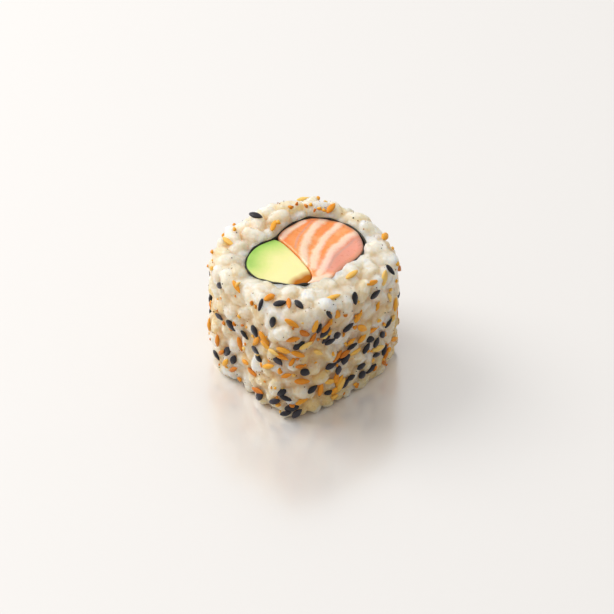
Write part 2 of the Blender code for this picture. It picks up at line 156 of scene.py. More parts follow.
# The grains that show between those of the outer layer, and those round the nori
UNDER_SINK = 1.5 * MM
GRAIN_SWELLING = 1.16  # so that neighbours stick together
UNDER_SEED = 23
UNDER_TURN = 1.3  # so that the layers' grains don't lie over each other
CORE_DEPTH = 1.35 * MM
CORE_EDGE = 1.5 * MM
CORE_BOTTOM = 0.9 * MM
CORE_STEPS = 120
PAST_ENDS = 5 * MM  # how far a cut goes past both ends of the roll
RIM_GRAINS = 27
RIM_RADIUS = (1.15 * MM, 1.5 * MM)
RIM_STANDS = (-0.15 * MM, 0.65 * MM)  # how far above the nori's edge their tops lie
RICE_CLOSES = 0.10 * MM  # how far the rice closes in on the thin sheet
LEAN_DEG = -58.0  # where the rim's grains lean over the nori
LEAN_WIDTH_DEG = 42.0
LEAN_STANDS = 0.30 * MM
DIP_DEG = -138.0  # where the rim sinks and shows the nori's edge
DIP_WIDTH_DEG = 34.0
RIM_DIP = 0.9 * MM
LEAN_OVER = 0.05 * MM  # above the nori's edge, where grains may lie over it
SEAM_WIDTH = 0.55 * MM
RICE_VOXEL = 0.28 * MM
RICE_SMOOTHING = 9
RICE_UNEVENNESS = ((0.8 * MM, 0.11 * MM, 1.0), (3.0 * MM, 0.30 * MM, 7.0))  # size, depth, seed
RICE_TRIANGLES = 190000
POINTS_AT_ONCE = 4000
SEEN_GRAIN_SINK = 0.45  # share of its radius

# Pale grains on top of the others: pixel across, pixel down, direction, length and width in mm
GRAINS_IN_VIEW = (
    (309, 295, 80, 4.6, 3.4), (306, 317, 5, 5.4, 3.4), (327, 305, -20, 4.6, 3.2),
    (347, 308, 80, 5.0, 3.2), (376, 249, 10, 5.6, 4.2), (388, 258, -30, 5.0, 3.6),
    (262, 288, -15, 4.6, 2.8), (289, 291, 20, 4.2, 2.8), (283, 334, 15, 4.6, 3.0),
    (352, 270, -35, 4.8, 2.8), (366, 262, -50, 4.4, 2.6), (327, 285, 15, 4.2, 2.6),
)

# Seeds: length, width and thickness of a whole one, and how many lie where the photograph doesn't show
BLACK_SIZE = (3.1 * MM, 1.9 * MM, 0.95 * MM)
GOLDEN_SIZE = (3.255 * MM, 1.748 * MM, 0.9975 * MM)
BIT_SIZE = (1.9 * MM, 1.3 * MM, 0.8 * MM)
SPECK_SIZE = (0.18 * MM, 0.44 * MM)
SEED_LIFT = 0.16 * MM  # of the middle over the rice
BIT_LIFT = 0.10 * MM
SPECK_LIFT = 0.02 * MM
SEED_SPACING = 2.2 * MM
REACH_FROM = 6 * MM  # how far out the way back to the rice starts
CREVICE_DEPTH = 1.0 * MM  # how deep between the grains a seed may lie
HIDDEN_BLACK = 190
HIDDEN_GOLDEN = 260
BIT_COUNT = 170
SPECK_COUNT = 280
STREW_SEED = 42
MIDDLE_PIXEL = 300  # left of it, a seed that misses the rice is tried further right
GRAZING = 0.35  # the least that a surface counts as facing the camera
UNSEEN = -0.08  # a side that faces the camera less than this doesn't show
UNSEEN_NEAR_TOP = -0.8
NEAR_TOP = 0.75
BLACK_USUAL = (0.97, 0.86)  # length and breadth, as shares of a whole seed's
GOLDEN_USUAL = (1.1, 0.8)

# The salmon's pale stripes: width in mm, and three pixels along each
ARC_STEPS = 40
SALMON_STRIPES = (
    (1.3, (282, 238), (289, 231), (303, 221)),
    (1.8, (305, 262), (307, 239), (324, 219)),
    (1.6, (313, 267), (320, 245), (341, 223)),
    (1.7, (320, 273), (337, 246), (359, 232)),
    (2.4, (308, 280), (317, 279), (327, 277)),
)
SALMON_VEINS = (
    ((328, 268), (339, 253), (355, 239)),
    ((296, 247), (299, 236), (312, 221)),
)
SALMON_BLUSH = ((330, 266), (346, 252), (358, 243))  # the middle of the pinker flesh
STRIPE_WANDER = 0.35 * MM
STRIPE_RELIEF = 0.12 * MM
VEIN_WIDTH = 0.55 * MM
BLUSH_HEART = 1.2 * MM
BLUSH_FADE = 2.6 * MM
SALMON_RIM = 2.4 * MM

# The avocado's tones fade over these distances
RIND_FADE = 9.5 * MM
TIP_FADE = 3.4 * MM
PARTING_RIM = 0.9 * MM
AVOCADO_SINK = 0.10 * MM  # how far its face lies lower

# Seeds in the photograph: pixel across, pixel down, where the tip points, in degrees, and where
# a seed isn't like the others its length and its breadth, as shares of theirs
BLACK_IN_VIEW = (
    (212, 298, 90), (221, 316, -43, 1.0, 0.6), (232, 325, -52), (246, 334, -53, 1.0, 0.6),
    (255, 331, -68), (273, 322, -103), (261, 305, -106, 1.0, 0.55), (280, 305, 13), (299, 305, -46),
    (299, 345, 34), (256, 350, -45), (260, 358, -50, 0.75, 0.75), (279, 359, -46),
    (228, 351, 50, 1.1, 1.15), (217, 355, -60), (234, 359, 69), (305, 372, -20, 0.8, 1.0),
    (282, 392, 30), (260, 396, 40, 0.8, 1.0), (269, 404, -56), (275, 401, 10), (286, 398, -20),
    (292, 406, 12, 1.1, 1.0), (297, 413, 42), (286, 413, 10), (354, 298, -84), (375, 294, 41),
    (329, 314, -60, 0.95, 0.6), (325, 332, 47, 1.1, 1.0), (319, 328, 70, 0.9, 0.6),
    (326, 339, 45, 0.9, 0.6), (330, 341, 30), (337, 335, 20, 0.7, 0.85), (348, 327, 40),
    (388, 323, 55, 1.05, 0.65), (381, 334, -43), (370, 339, 0, 0.8, 1.0), (376, 342, 70),
    (366, 348, 61), (352, 346, 33, 1.0, 0.6), (375, 354, 16, 1.0, 0.6), (383, 350, 70, 1.0, 0.65),
    (345, 359, 50), (331, 365, 35), (338, 370, -95), (361, 366, 34), (371, 368, 42, 1.1, 1.0),
    (361, 374, -60, 0.8, 1.0), (345, 383, 50), (312, 389, 37), (329, 392, 10),
    (256, 216, -18, 1.15, 1.0), (221, 285, 18), (328, 198, -70, 0.75, 0.75),
    (390, 270, -50, 1.0, 0.6), (351, 377, 30, 0.75, 0.75), (338, 360, 30, 0.8, 0.5),
)
BITS_IN_VIEW = (
    (302, 201, 30, 0.5, 0.5), (307, 207, -40, 0.6, 0.5), (312, 205, 10, 0.5, 0.6),
    (315, 212, 60, 0.5, 0.4), (321, 209, 0, 0.6, 0.5), (330, 208, 80, 0.5, 0.5),
    (326, 211, 20, 0.6, 0.5), (292, 210, -20, 0.6, 0.5), (280, 225, 15, 0.6, 0.6),
    (235, 229, 70, 0.6, 0.5), (387, 236, 30, 0.7, 0.6), (318, 200, -60, 0.5, 0.4),
    (239, 283, 60, 0.9, 0.6), (337, 313, 80, 0.9, 0.9), (332, 321, 40, 0.9, 0.8),
    (281, 370, 60, 0.7, 0.7),
)
GOLDEN_IN_VIEW = (
    (210, 324, 90), (218, 340, 90), (242, 343, -75), (226, 362, 55), (234, 369, 20), (270, 298, 32),
    (289, 304, -85), (258, 340, 60), (264, 338, -60), (268, 346, -30), (293, 339, 10),
    (304, 333, -20), (284, 350, -16), (298, 354, -18), (269, 366, 5), (253, 372, -45),
    (259, 390, -25), (302, 381, 0), (302, 400, 30), (292, 323, -30), (333, 298, 20),
    (337, 314, -50), (357, 316, 58), (315, 326, 70), (312, 339, 60), (362, 328, -22),
    (372, 329, 30), (394, 339, 20), (337, 356, 54), (355, 351, 30), (378, 348, 20), (383, 361, -60),
    (338, 380, 60), (330, 381, 10), (319, 387, 80), (333, 396, 33), (399, 301, 85), (389, 298, -70),
    (384, 278, -100), (398, 268, -45), (257, 342, 60, 0.8, 0.6), (267, 345, -40, 1.0, 0.6),
    (326, 327, 50, 0.9, 0.8), (282, 355, -25, 1.1, 0.7), (274, 352, -30, 0.9, 0.6),
    (345, 353, 40, 1.0, 0.7), (375, 349, 20, 1.0, 0.7), (340, 385, 60, 1.2, 0.9),
    (336, 377, 80, 1.0, 0.8), (335, 390, 30, 1.1, 0.9), (325, 336, 0, 0.9, 0.7),
    (241, 386, 0, 0.6, 0.6), (350, 340, 40, 0.8, 0.6), (386, 353, 70, 1.0, 0.7),
    (300, 366, 10, 0.7, 0.6), (318, 352, -20, 0.8, 0.6), (287, 374, 15, 0.8, 0.7),
    (362, 338, 50, 0.8, 0.6), (222, 352, 30, 0.9, 0.7), (246, 362, -40, 0.7, 0.6),
    (392, 318, 60, 0.8, 0.6), (377, 306, 70, 0.7, 0.6), (306, 345, 30, 1.0, 0.8),
    (292, 362, 60, 0.8, 0.6), (387, 236, 60), (352, 275, 35), (372, 283, 20), (331, 209, 50),
    (228, 244, -35), (238, 287, -60), (274, 228, 70), (304, 200, 10),
)


def photo_camera():
    """The camera of the photograph: level from side to side, looking down on the roll."""
    elevation = math.radians(VIEW_ELEVATION_DEG)
    back = Vector((0, -math.cos(elevation), math.sin(elevation)))
    data = bpy.data.cameras.new("photo_camera")
    data.sensor_width = SENSOR_MM
    data.lens = PIXELS_PER_METRE * VIEW_DISTANCE * SENSOR_MM / FRAME_PIXELS
    data.clip_start = 0.01
    camera = bpy.data.objects.new("photo_camera", data)
    camera.location = VIEW_TARGET + back * VIEW_DISTANCE
    camera.rotation_euler = back.to_track_quat("Z", "Y").to_euler()
    bpy.context.scene.collection.objects.link(camera)
    bpy.context.scene.camera = camera
    bpy.context.view_layer.update()
    return camera


def soft_light(name, place, size, watts, colour):
    """A square studio light that faces the roll."""
    data = bpy.data.lights.new(name, "AREA")
    data.size = size
    data.energy = watts
    data.color = colour
    light = bpy.data.objects.new(name, data)
    light.location = place
    light.rotation_euler = (Vector(place) - VIEW_TARGET).to_track_quat("Z", "Y").to_euler()
    bpy.context.scene.collection.objects.link(light)


def studio():
    """A pale room that is brightest behind the roll on the left, with one large soft light there."""
    world = bpy.data.worlds.new("pale_room")
    world.use_nodes = True
    tree = world.node_tree
    background = tree.nodes["Background"]
    toward = tree.nodes.new("ShaderNodeVectorMath")
    toward.operation = "DOT_PRODUCT"
    toward.inputs[1].default_value = Vector(BRIGHT_SIDE).normalized()
    tree.links.new(tree.nodes.new("ShaderNodeTexCoord").outputs["Generated"], toward.inputs[0])
    levels = tree.nodes.new("ShaderNodeMapRange")
    levels.inputs["From Min"].default_value = -1.0
    levels.inputs["To Min"].default_value = ROOM_LEVELS[0]
    levels.inputs["To Max"].default_value = ROOM_LEVELS[1]
    tree.links.new(toward.outputs["Value"], levels.inputs["Value"])
    tree.links.new(levels.outputs["Result"], background.inputs["Strength"])
    background.inputs["Color"].default_value = ROOM_COLOUR
    bpy.context.scene.world = world
    bpy.context.scene.view_settings.view_transform = "Standard"
    soft_light("window", WINDOW_PLACE, WINDOW_SIZE, WINDOW_WATTS, (1.0, 0.985, 0.97))


def material(name, **values):
    """A material with the values that are the same all over it set on the shader."""
    made = bpy.data.materials.new(name)
    made.use_nodes = True
    shader = made.node_tree.nodes["Principled BSDF"]
    for key, value in values.items():
        shader.inputs[key.replace("_", " ")].default_value = value
    return made


class Net:
    """Short ways to add shader nodes to a material."""

    def __init__(self, made):
        self.tree = made.node_tree
        self.shader = self.tree.nodes["Principled BSDF"]

    def link(self, source, target):
        self.tree.links.new(source, target)

    def into(self, node, inputs):
        for key, value in inputs.items():
            socket = node.inputs[key]
            if isinstance(value, bpy.types.NodeSocket):
                self.link(value, socket)
            else:
                socket.default_value = value

    def place(self):
        return self.tree.nodes.new("ShaderNodeTexCoord").outputs["Object"]

    def attribute(self, name):
        node = self.tree.nodes.new("ShaderNodeAttribute")
        node.attribute_name = name
        return node.outputs["Fac"]

    def noise(self, scale, detail=2.0, roughness=0.5):
        node = self.tree.nodes.new("ShaderNodeTexNoise")
        self.into(node, {"Vector": self.place(), "Scale": scale, "Detail": detail, "Roughness": roughness})
        return node.outputs["Fac"]

    def cells(self, scale):
        node = self.tree.nodes.new("ShaderNodeTexVoronoi")
        self.into(node, {"Vector": self.place(), "Scale": scale})
        return node.outputs["Distance"]

    def facets(self, scale, warp_scale, warp):
        """Flat angular patches with wandering edges: how far from a patch's middle, and its own level."""
        stray = self.tree.nodes.new("ShaderNodeTexNoise")
        self.into(stray, {"Vector": self.place(), "Scale": warp_scale, "Detail": 1.0})
        moved = self.tree.nodes.new("ShaderNodeVectorMath")
        moved.operation = "MULTIPLY_ADD"
        self.into(moved, {0: stray.outputs["Color"], 1: (warp,) * 3, 2: self.place()})
        node = self.tree.nodes.new("ShaderNodeTexVoronoi")
        self.into(node, {"Vector": moved.outputs[0], "Scale": scale})
        return node.outputs["Distance"], node.outputs["Color"]

    def level(self, low, high):
        """0 at one height of the roll and 1 at another."""
        parts = self.tree.nodes.new("ShaderNodeSeparateXYZ")
        self.link(self.place(), parts.inputs[0])
        node = self.tree.nodes.new("ShaderNodeMapRange")
        self.into(node, {"Value": parts.outputs["Z"], "From Min": low, "From Max": high})
        return node.outputs["Result"]

    def maths(self, operation, *values):
        node = self.tree.nodes.new("ShaderNodeMath")
        node.operation = operation
        self.into(node, dict(enumerate(values)))
        return node.outputs[0]

    def weighted(self, *parts):
        """The sum of values, each taken times its share."""
        total = None
        for value, share in parts:
            part = self.maths("MULTIPLY", value, share)
            total = part if total is None else self.maths("ADD", total, part)
        return total

    def swing(self, value, amount):
        """A value's swing to both sides of its middle, made stronger or weaker."""
        return self.maths("MULTIPLY", self.maths("SUBTRACT", value, 0.5), amount)

    def ramp(self, value, *stops):
        """Colours or levels along a value: each stop is (position, colour or level)."""
        node = self.tree.nodes.new("ShaderNodeValToRGB")
        elements = node.color_ramp.elements
        while len(elements) < len(stops):
            elements.new(0.5)
        for element, (position, colour) in zip(elements, stops):
            element.position = position
            element.color = (colour,) * 3 + (1,) if isinstance(colour, float) else (*colour, 1)
        self.link(value, node.inputs["Fac"])
        return node.outputs["Color"]

    def mix(self, factor, first, second):
        node = self.tree.nodes.new("ShaderNodeMix")
        node.data_type = "RGBA"
        colours = [s for s in node.inputs if s.type == "RGBA"]
        for socket, value in ((node.inputs["Factor"], factor), (colours[0], first), (colours[1], second)):
            if isinstance(value, bpy.types.NodeSocket):
                self.link(value, socket)
            else:
                socket.default_value = value if isinstance(value, float) else (*value, 1)
        return next(s for s in node.outputs if s.type == "RGBA")

    def bump(self, height, distance, strength=1.0):
        node = self.tree.nodes.new("ShaderNodeBump")
        self.into(node, {"Height": height, "Distance": distance, "Strength": strength})
        self.link(node.outputs["Normal"], self.shader.inputs["Normal"])

    def colour(self, socket):
        self.link(socket, self.shader.inputs["Base Color"])

    def roughness(self, scale, low, high):
        """A surface that is smoother in some places than in others."""
        level = self.ramp(self.noise(scale), (0.3, low), (0.7, high))
        self.link(level, self.shader.inputs["Roughness"])


def rice_material():
    made = material(
        "moist_rice",
        Subsurface_Weight=1.0,
        Subsurface_Radius=(1.0, 0.86, 0.66),
        Subsurface_Scale=6.0 * MM,
        IOR=1.42,
        Coat_Weight=0.25,
        Coat_Roughness=0.16,
    )
    net = Net(made)
    tone = net.attribute("tone")
    cloud = net.noise(420.0, 3.0)
    crease, patch = net.facets(430.0, 500.0, 1.6 * MM)
    grain = net.ramp(
        net.weighted((tone, 0.5), (cloud, 0.2), (patch, 0.3)),
        (0.18, (0.72, 0.58, 0.36)),
        (0.38, (0.84, 0.73, 0.54)),
        (0.56, (0.88, 0.85, 0.76)),
        (0.78, (0.96, 0.93, 0.87)),
    )
    # Warm brown patches, partly a real stain and partly painted shade: strongest low on the side, and
    # fading towards the brighter top.
    stain_and_shade_patches = net.ramp(net.noise(170.0, 4.0, 0.65), (0.38, 0.1), (0.60, 0.95))
    share = net.ramp(net.level(16 * MM, 29 * MM), (0.0, 1.0), (1.0, 0.4))
    stained_and_shaded_rice = net.mix(net.maths("MULTIPLY", stain_and_shade_patches, share), grain, (0.80, 0.52, 0.20))
    # Painted shade: the colour darkens to a warm brown where two grains meet, in the crevices between
    # them.
    seam_shade = net.ramp(net.attribute("seam_shade"), (0.0, 1.0), (1.0, 0.0))
    net.colour(net.mix(net.maths("MULTIPLY", seam_shade, 0.30), stained_and_shaded_rice, (0.68, 0.47, 0.20)))
    net.roughness(900.0, 0.25, 0.5)
    net.bump(net.weighted((crease, -0.8), (net.noise(1500.0, 4.0, 0.65), 0.3)), 0.9 * MM)
    return made


def black_seed_material():
    made = material(
        "black_sesame",
        IOR=1.45,
        Sheen_Weight=0.2,
        Sheen_Roughness=0.4,
        Sheen_Tint=(0.75, 0.72, 1.0, 1),
    )
    net = Net(made)
    net.colour(
        net.ramp(
            net.attribute("tone"),
            (0.0, (0.004, 0.003, 0.005)),
            (0.7, (0.010, 0.008, 0.014)),
            (1.0, (0.035, 0.028, 0.038)),
        )
    )
    net.roughness(2500.0, 0.34, 0.52)
    net.bump(net.cells(4200.0), 0.05 * MM, 0.8)
    return made


def golden_seed_material():
    made = material(
        "toasted_sesame",
        Subsurface_Weight=0.25,
        Subsurface_Radius=(1.0, 0.55, 0.25),
        Subsurface_Scale=0.6 * MM,
        IOR=1.45,
        Specular_IOR_Level=0.35,
    )
    net = Net(made)
    net.colour(
        net.ramp(
            net.weighted((net.attribute("tone"), 0.75), (net.noise(1400.0, 3.0), 0.25)),
            (0.05, (0.55, 0.14, 0.006)),
            (0.35, (0.84, 0.31, 0.015)),
            (0.65, (0.92, 0.46, 0.045)),
            (0.92, (0.93, 0.66, 0.22)),
        )
    )
    net.roughness(2500.0, 0.34, 0.52)
    net.bump(net.cells(3600.0), 0.05 * MM, 0.7)
    return made


def speck_material():
    made = material("dark_specks", Roughness=0.6)
    net = Net(made)
    net.colour(
        net.ramp(
            net.attribute("tone"),
            (0.25, (0.020, 0.014, 0.010)),
            (0.5, (0.15, 0.06, 0.02)),
            (0.8, (0.45, 0.19, 0.04)),
        )
    )
    return made


def plan_point(camera, pixel_x, pixel_y, height):
    """The point at a height that the photograph shows at a pixel, in plan."""
    ray = pixel_ray(camera, pixel_x, pixel_y)
    reach = (height - camera.location.z) / ray.z
    spot = camera.location + ray * reach
    return np.array([spot.x, spot.y])


def seen_arc(camera, pixels):
    """Points in plan along the parabola through three pixels of the cut face."""
    start, middle, end = (plan_point(camera, x, y, FILLING_TOP) for x, y in pixels)
    share = np.linspace(0, 1, ARC_STEPS)[:, None]
    pull = 2 * middle - (start + end) / 2
    return start * (1 - share) ** 2 + pull * 2 * share * (1 - share) + end * share**2


def salmon_material():
    made = material(
        "raw_salmon",
        Subsurface_Weight=0.5,
        Subsurface_Radius=(1.0, 0.42, 0.22),
        Subsurface_Scale=1.3 * MM,
        IOR=1.40,
        Coat_Weight=0.3,
        Coat_Roughness=0.16,
    )
    net = Net(made)
    fibre = net.noise(1500.0, 4.0, 0.6)
    wisps = net.noise(750.0, 6.0, 0.75)
    fat = net.maths("ADD", net.attribute("fat"), net.swing(wisps, 1.3))
    orange = net.ramp(
        net.noise(330.0, 3.0),
        (0.30, (0.92, 0.26, 0.05)),
        (0.55, (0.93, 0.33, 0.09)),
        (0.75, (0.94, 0.42, 0.18)),
    )
    flesh = net.mix(net.attribute("blush"), orange, (0.82, 0.34, 0.24))
    pale = net.mix(net.attribute("blush"), (0.99, 0.70, 0.52), (0.95, 0.63, 0.52))
    striped = net.mix(net.ramp(fat, (0.12, 0.0), (0.85, 0.95)), flesh, pale)
    veined = net.mix(net.maths("MULTIPLY", net.attribute("vein"), 0.6), striped, (0.62, 0.36, 0.30))
    edge = net.ramp(net.attribute("edge"), (0.0, 1.0), (0.6, 0.0))
    dark = net.maths("MULTIPLY", edge, net.ramp(wisps, (0.3, 0.4), (0.7, 0.95)))
    net.colour(net.mix(dark, veined, (0.36, 0.19, 0.15)))
    net.roughness(1100.0, 0.24, 0.42)
    net.bump(fibre, 0.09 * MM, 0.8)
    return made


def avocado_material():
    made = material(
        "ripe_avocado",
        Subsurface_Weight=0.5,
        Subsurface_Radius=(0.9, 1.0, 0.35),
        Subsurface_Scale=1.2 * MM,
        IOR=1.42,
        Specular_IOR_Level=0.2,
    )
    net = Net(made)
    cloud = net.swing(net.noise(300.0, 3.0), 0.22)
    streak = net.swing(net.noise(1100.0, 4.0), 0.10)
    flesh = net.ramp(
        net.maths("ADD", net.maths("ADD", net.attribute("rind"), cloud), streak),
        (0.0, (0.30, 0.55, 0.10)),
        (0.20, (0.49, 0.70, 0.18)),
        (0.40, (0.70, 0.78, 0.27)),
        (0.60, (0.87, 0.84, 0.37)),
        (0.85, (0.95, 0.86, 0.42)),
    )
    golden = net.mix(net.ramp(net.attribute("rim"), (0.0, 0.85), (0.6, 0.0)), flesh, (0.95, 0.66, 0.10))
    tip = net.ramp(net.attribute("edge"), (0.45, 1.0), (0.95, 0.0))
    net.colour(net.mix(tip, golden, (0.47, 0.14, 0.0)))
    net.roughness(800.0, 0.34, 0.5)
    net.bump(net.noise(1800.0, 3.0), 0.05 * MM, 0.7)
    return made


def nori_material():
    made = material("damp_nori", IOR=1.45)
    net = Net(made)
    net.colour(
        net.ramp(net.noise(900.0, 4.0), (0.3, (0.010, 0.011, 0.008)), (0.7, (0.045, 0.038, 0.020)))
    )
    net.roughness(1600.0, 0.35, 0.6)
    net.bump(net.noise(2200.0, 4.0, 0.65), 0.12 * MM)
    return made


def floor_material():
    return material(
        "glossy_table",
        Base_Color=(0.89, 0.875, 0.862, 1),
        Metallic=0.3,
        Roughness=0.22,
    )


def table_top():
    bpy.ops.object.select_all(action="DESELECT")
    bpy.ops.mesh.primitive_plane_add(size=6.0, location=(0, 0, 0))
    floor = bpy.context.object
    floor.name = "table_top"
    floor.data.materials.append(floor_material())


def angle_from(angle, centre_deg):
    """The angle from a bearing, between -pi and pi."""
    away = angle - math.radians(centre_deg)
    return (away + math.pi) % (2 * math.pi) - math.pi


def swell(angle, centre_deg, width_deg):
    """A smooth swelling that is 1 at a bearing and fades out to both sides of it."""
    away = angle_from(angle, centre_deg) / math.radians(width_deg)
    return np.exp(-away * away)


def skin_radius(angle, height):
    """Radius of the roll's skin: a slight barrel, with a foot at the front corner."""
    level = height / ROLL_HEIGHT
    foot = FOOT_SPREAD * swell(angle, FOOT_DEG, FOOT_WIDTH_DEG) * (1 - np.clip(level, 0, 1))
    return smooth_radius(SKIN_RADII_MM, angle) + foot - BARREL * (2 * level - 1) ** 2


def skin_top(angle):
    """Height of the top, which rises and falls a little round the roll."""
    wave = sum(share * np.cos(lobes * angle + phase) for share, lobes, phase in TOP_WAVE_LOBES)
    crest = CREST_HEIGHT * swell(angle, CREST_DEG, CREST_WIDTH_DEG)
    return ROLL_HEIGHT - TOP_WAVE * (TOP_WAVE_MIDDLE + wave) + crest


def smooth_radius(radii_mm, angle):
    """Radius at an angle, smooth through radii that are listed at even steps round the turn."""
    radii = np.array(radii_mm) * MM
    count = len(radii)
    at = (angle / (2 * math.pi) * count) % count
    cell = np.floor(at).astype(int)
    t = at - cell
    before, here, after, beyond = (radii[(cell + k) % count] for k in (-1, 0, 1, 2))
    return 0.5 * (
        2 * here
        + (after - before) * t
        + (2 * before - 5 * here + 4 * after - beyond) * t**2
        + (3 * here - before - 3 * after + beyond) * t**3
    )


def filling_point(angle, outward=0.0):
    """Points outside the filling's outline by a distance, measured square to it."""
    step = 0.01
    here, ahead, behind = (
        smooth_radius(FILLING_RADII_MM, a)[:, None] * np.stack([np.cos(a), np.sin(a)], axis=1)
        for a in (angle, angle + step, angle - step)
    )
    along = ahead - behind
    square = np.stack([along[:, 1], -along[:, 0]], axis=1)
    square /= np.linalg.norm(square, axis=1)[:, None]
    return here + square * np.reshape(outward, (-1, 1)) + np.array(FILLING_CENTRE)


def nori_lift(angle_along):
    """How far the sheet stands off the filling, by the angle travelled from its inner end."""
    lift_from = math.radians(360 - NORI_LIFT_DEG)
    share = np.clip((angle_along - lift_from) / math.radians(NORI_LIFT_DEG), 0, 1)
    return (NORI_THICKNESS + TOUCH_GAP) * share * share * (3 - 2 * share)


def hole_lift(angle):
    """How far the rice's inner wall stands off where the sheet's ends overlap."""
    travelled = (math.radians(NORI_START_DEG) - angle) % (2 * math.pi)
    ease = math.radians(FLAP_EASE_DEG)
    past_flap = travelled - math.radians(NORI_OVERLAP_DEG)
    flap = (NORI_THICKNESS + TOUCH_GAP) * np.clip(1 - past_flap / ease, 0, 1)
    return np.where(past_flap < ease, flap, nori_lift(travelled))


def hole_point(angle, clearance):
    """The solid rice's inner wall: outside the nori everywhere, past its outer flap too."""
    return filling_point(angle, NORI_THICKNESS + hole_lift(angle) + clearance)


def rice_wall(angle, clearance):
    """The inner wall of the soft rice, which closes in on the thinner sheet and its flap."""
    return filling_point(angle, NORI_THICKNESS - RICE_CLOSES + hole_lift(angle) * SHEET_LIFT + clearance)


def rounded_corner(a, b, radius):
    """Distance outside the corner of two walls, rounded to a radius."""
    outside = np.hypot(np.maximum(a + radius, 0), np.maximum(b + radius, 0))
    return outside - radius + np.minimum(np.maximum(a, b) + radius, 0)


def skin_depth(points):
    """How far points lie under the outer skin, with its top and bottom shoulders rounded."""
    angle = np.arctan2(points[:, 1], points[:, 0])
    side = np.hypot(points[:, 0], points[:, 1]) - skin_radius(angle, points[:, 2])
    upper = rounded_corner(side, points[:, 2] - skin_top(angle), TOP_SHOULDER)
    lower = rounded_corner(side, -GRAIN_CUT - points[:, 2], BOTTOM_SHOULDER)
    return -np.maximum(upper, lower)


def hole_clearance(points):
    """How far points lie outside the rice's inner wall."""
    offset = points[:, :2] - np.array(FILLING_CENTRE)
    angle = np.arctan2(offset[:, 1], offset[:, 0])
    wall = hole_point(angle, TOUCH_GAP) - np.array(FILLING_CENTRE)
    return np.hypot(offset[:, 0], offset[:, 1]) - np.hypot(wall[:, 0], wall[:, 1])


def slope(field, points):
    """Unit direction in which a field of distances grows."""
    step = 0.05 * MM
    direction = np.stack([field(points + way) - field(points - way) for way in np.eye(3) * step], 1)
    return direction / np.maximum(np.linalg.norm(direction, axis=1), 1e-12)[:, None]


def clear_of_hole(points, radius):
    """The move that takes balls of a radius clear of the rice's inner wall."""
    cramped = np.maximum(radius + WALL_CLEARANCE - hole_clearance(points), 0)
    return slope(hole_clearance, points) * cramped[:, None]


def spread_over_skin(places, turned):
    """Points spread evenly over the top, the side and the underside, leaving out the filling."""
    profile = np.array(
        [
            (0, ROLL_HEIGHT),
            (ROLL_RADIUS - TOP_SHOULDER / 2, ROLL_HEIGHT),
            (ROLL_RADIUS, ROLL_HEIGHT - TOP_SHOULDER / 2),
            (ROLL_RADIUS, BOTTOM_SHOULDER / 2),
            (ROLL_RADIUS - BOTTOM_SHOULDER / 2, 0),
            (0, 0),
        ]
    )
    share = np.linspace(0, 1, PROFILE_STEPS, endpoint=False)[:, None]
    line = np.vstack([a + (b - a) * share for a, b in zip(profile, profile[1:])] + [profile[-1:]])
    middle = (line[1:, 0] + line[:-1, 0]) / 2
    area = np.concatenate([[0], np.cumsum(middle * np.linalg.norm(np.diff(line, axis=0), axis=1))])
    at = (np.arange(places) + 0.5) / places * area[-1]
    radius, height = (np.interp(at, area, line[:, k]) for k in range(2))
    angle = np.arange(places) * GOLDEN_ANGLE + turned
    points = np.stack([radius * np.cos(angle), radius * np.sin(angle), height], axis=1)
    return points[hole_clearance(points) > 0]


def pack_grains(random, centre, extra_sink):
    """Lets the grains slide apart under the skin: (one end, other end, grain radius) of each."""
    count = len(centre)
    radius = random.uniform(*GRAIN_RADIUS, count)
    half = random.uniform(*GRAIN_HALF_AXIS, count)
    sink = random.uniform(0, GRAIN_SINK, (2, count)) + extra_sink
    direction = random.normal(size=(count, 3))
    outward = -slope(skin_depth, centre)
    direction -= outward * (direction * outward).sum(1)[:, None]
    direction /= np.linalg.norm(direction, axis=1)[:, None]
    ends = np.stack([centre + direction * half[:, None], centre - direction * half[:, None]])
    owner = np.tile(np.arange(count), 3)
    reach = GRAIN_CLOSENESS * (radius[owner][:, None] + radius[owner][None, :])
    reach[owner[:, None] == owner[None, :]] = 0
    for done in range(PACKING_ROUNDS):
        force = PUSH_SHARE * min(1, (PACKING_ROUNDS - done) / SETTLING_ROUNDS)
        balls = np.concatenate([ends[0], ends[1], (ends[0] + ends[1]) / 2])
        gap = balls[:, None, :] - balls[None, :, :]
        apart = np.sqrt((gap * gap).sum(2)) + 1e-9
        push = np.maximum(reach - apart, 0) / apart
        move = (gap * push[:, :, None]).sum(1) * force
        ends[0] += move[:count] + move[2 * count :] / 2
        ends[1] += move[count : 2 * count] + move[2 * count :] / 2
        for end in (0, 1):
            error = skin_depth(ends[end]) - radius - sink[end]
            ends[end] -= slope(skin_depth, ends[end]) * (error * SKIN_PULL)[:, None]
            ends[end] += clear_of_hole(ends[end], radius)
        middle = (ends[0] + ends[1]) / 2
        middle += clear_of_hole(middle, radius)
        axis = ends[0] - ends[1]
        axis *= (half / np.linalg.norm(axis, axis=1))[:, None]
        ends = np.round(np.stack([middle + axis, middle - axis]), ROUND_TO)
    return ends[0], ends[1], radius


def start_shape(name):
    """The active object, just added by an operator, under its own name."""
    shape = bpy.context.object
    shape.name = name
    shape.data.name = name
    return shape


def select_points(shape, wanted):
    """In edit mode, selects the points that a test of their place accepts."""
    bpy.ops.object.mode_set(mode="EDIT")
    bpy.ops.mesh.select_mode(type="VERT")
    bpy.ops.mesh.select_all(action="DESELECT")
    bpy.ops.object.mode_set(mode="OBJECT")
    for point in shape.data.vertices:
        point.select = wanted(point.co)
    bpy.ops.object.mode_set(mode="EDIT")


def apply_modifier(shape, kind, **settings):
    """Adds a modifier and applies it."""
    bpy.ops.object.mode_set(mode="OBJECT")
    modifier = shape.modifiers.new(kind.lower(), kind)
    for key, value in settings.items():
        setattr(modifier, key, value)
    bpy.ops.object.modifier_apply(modifier=modifier.name)


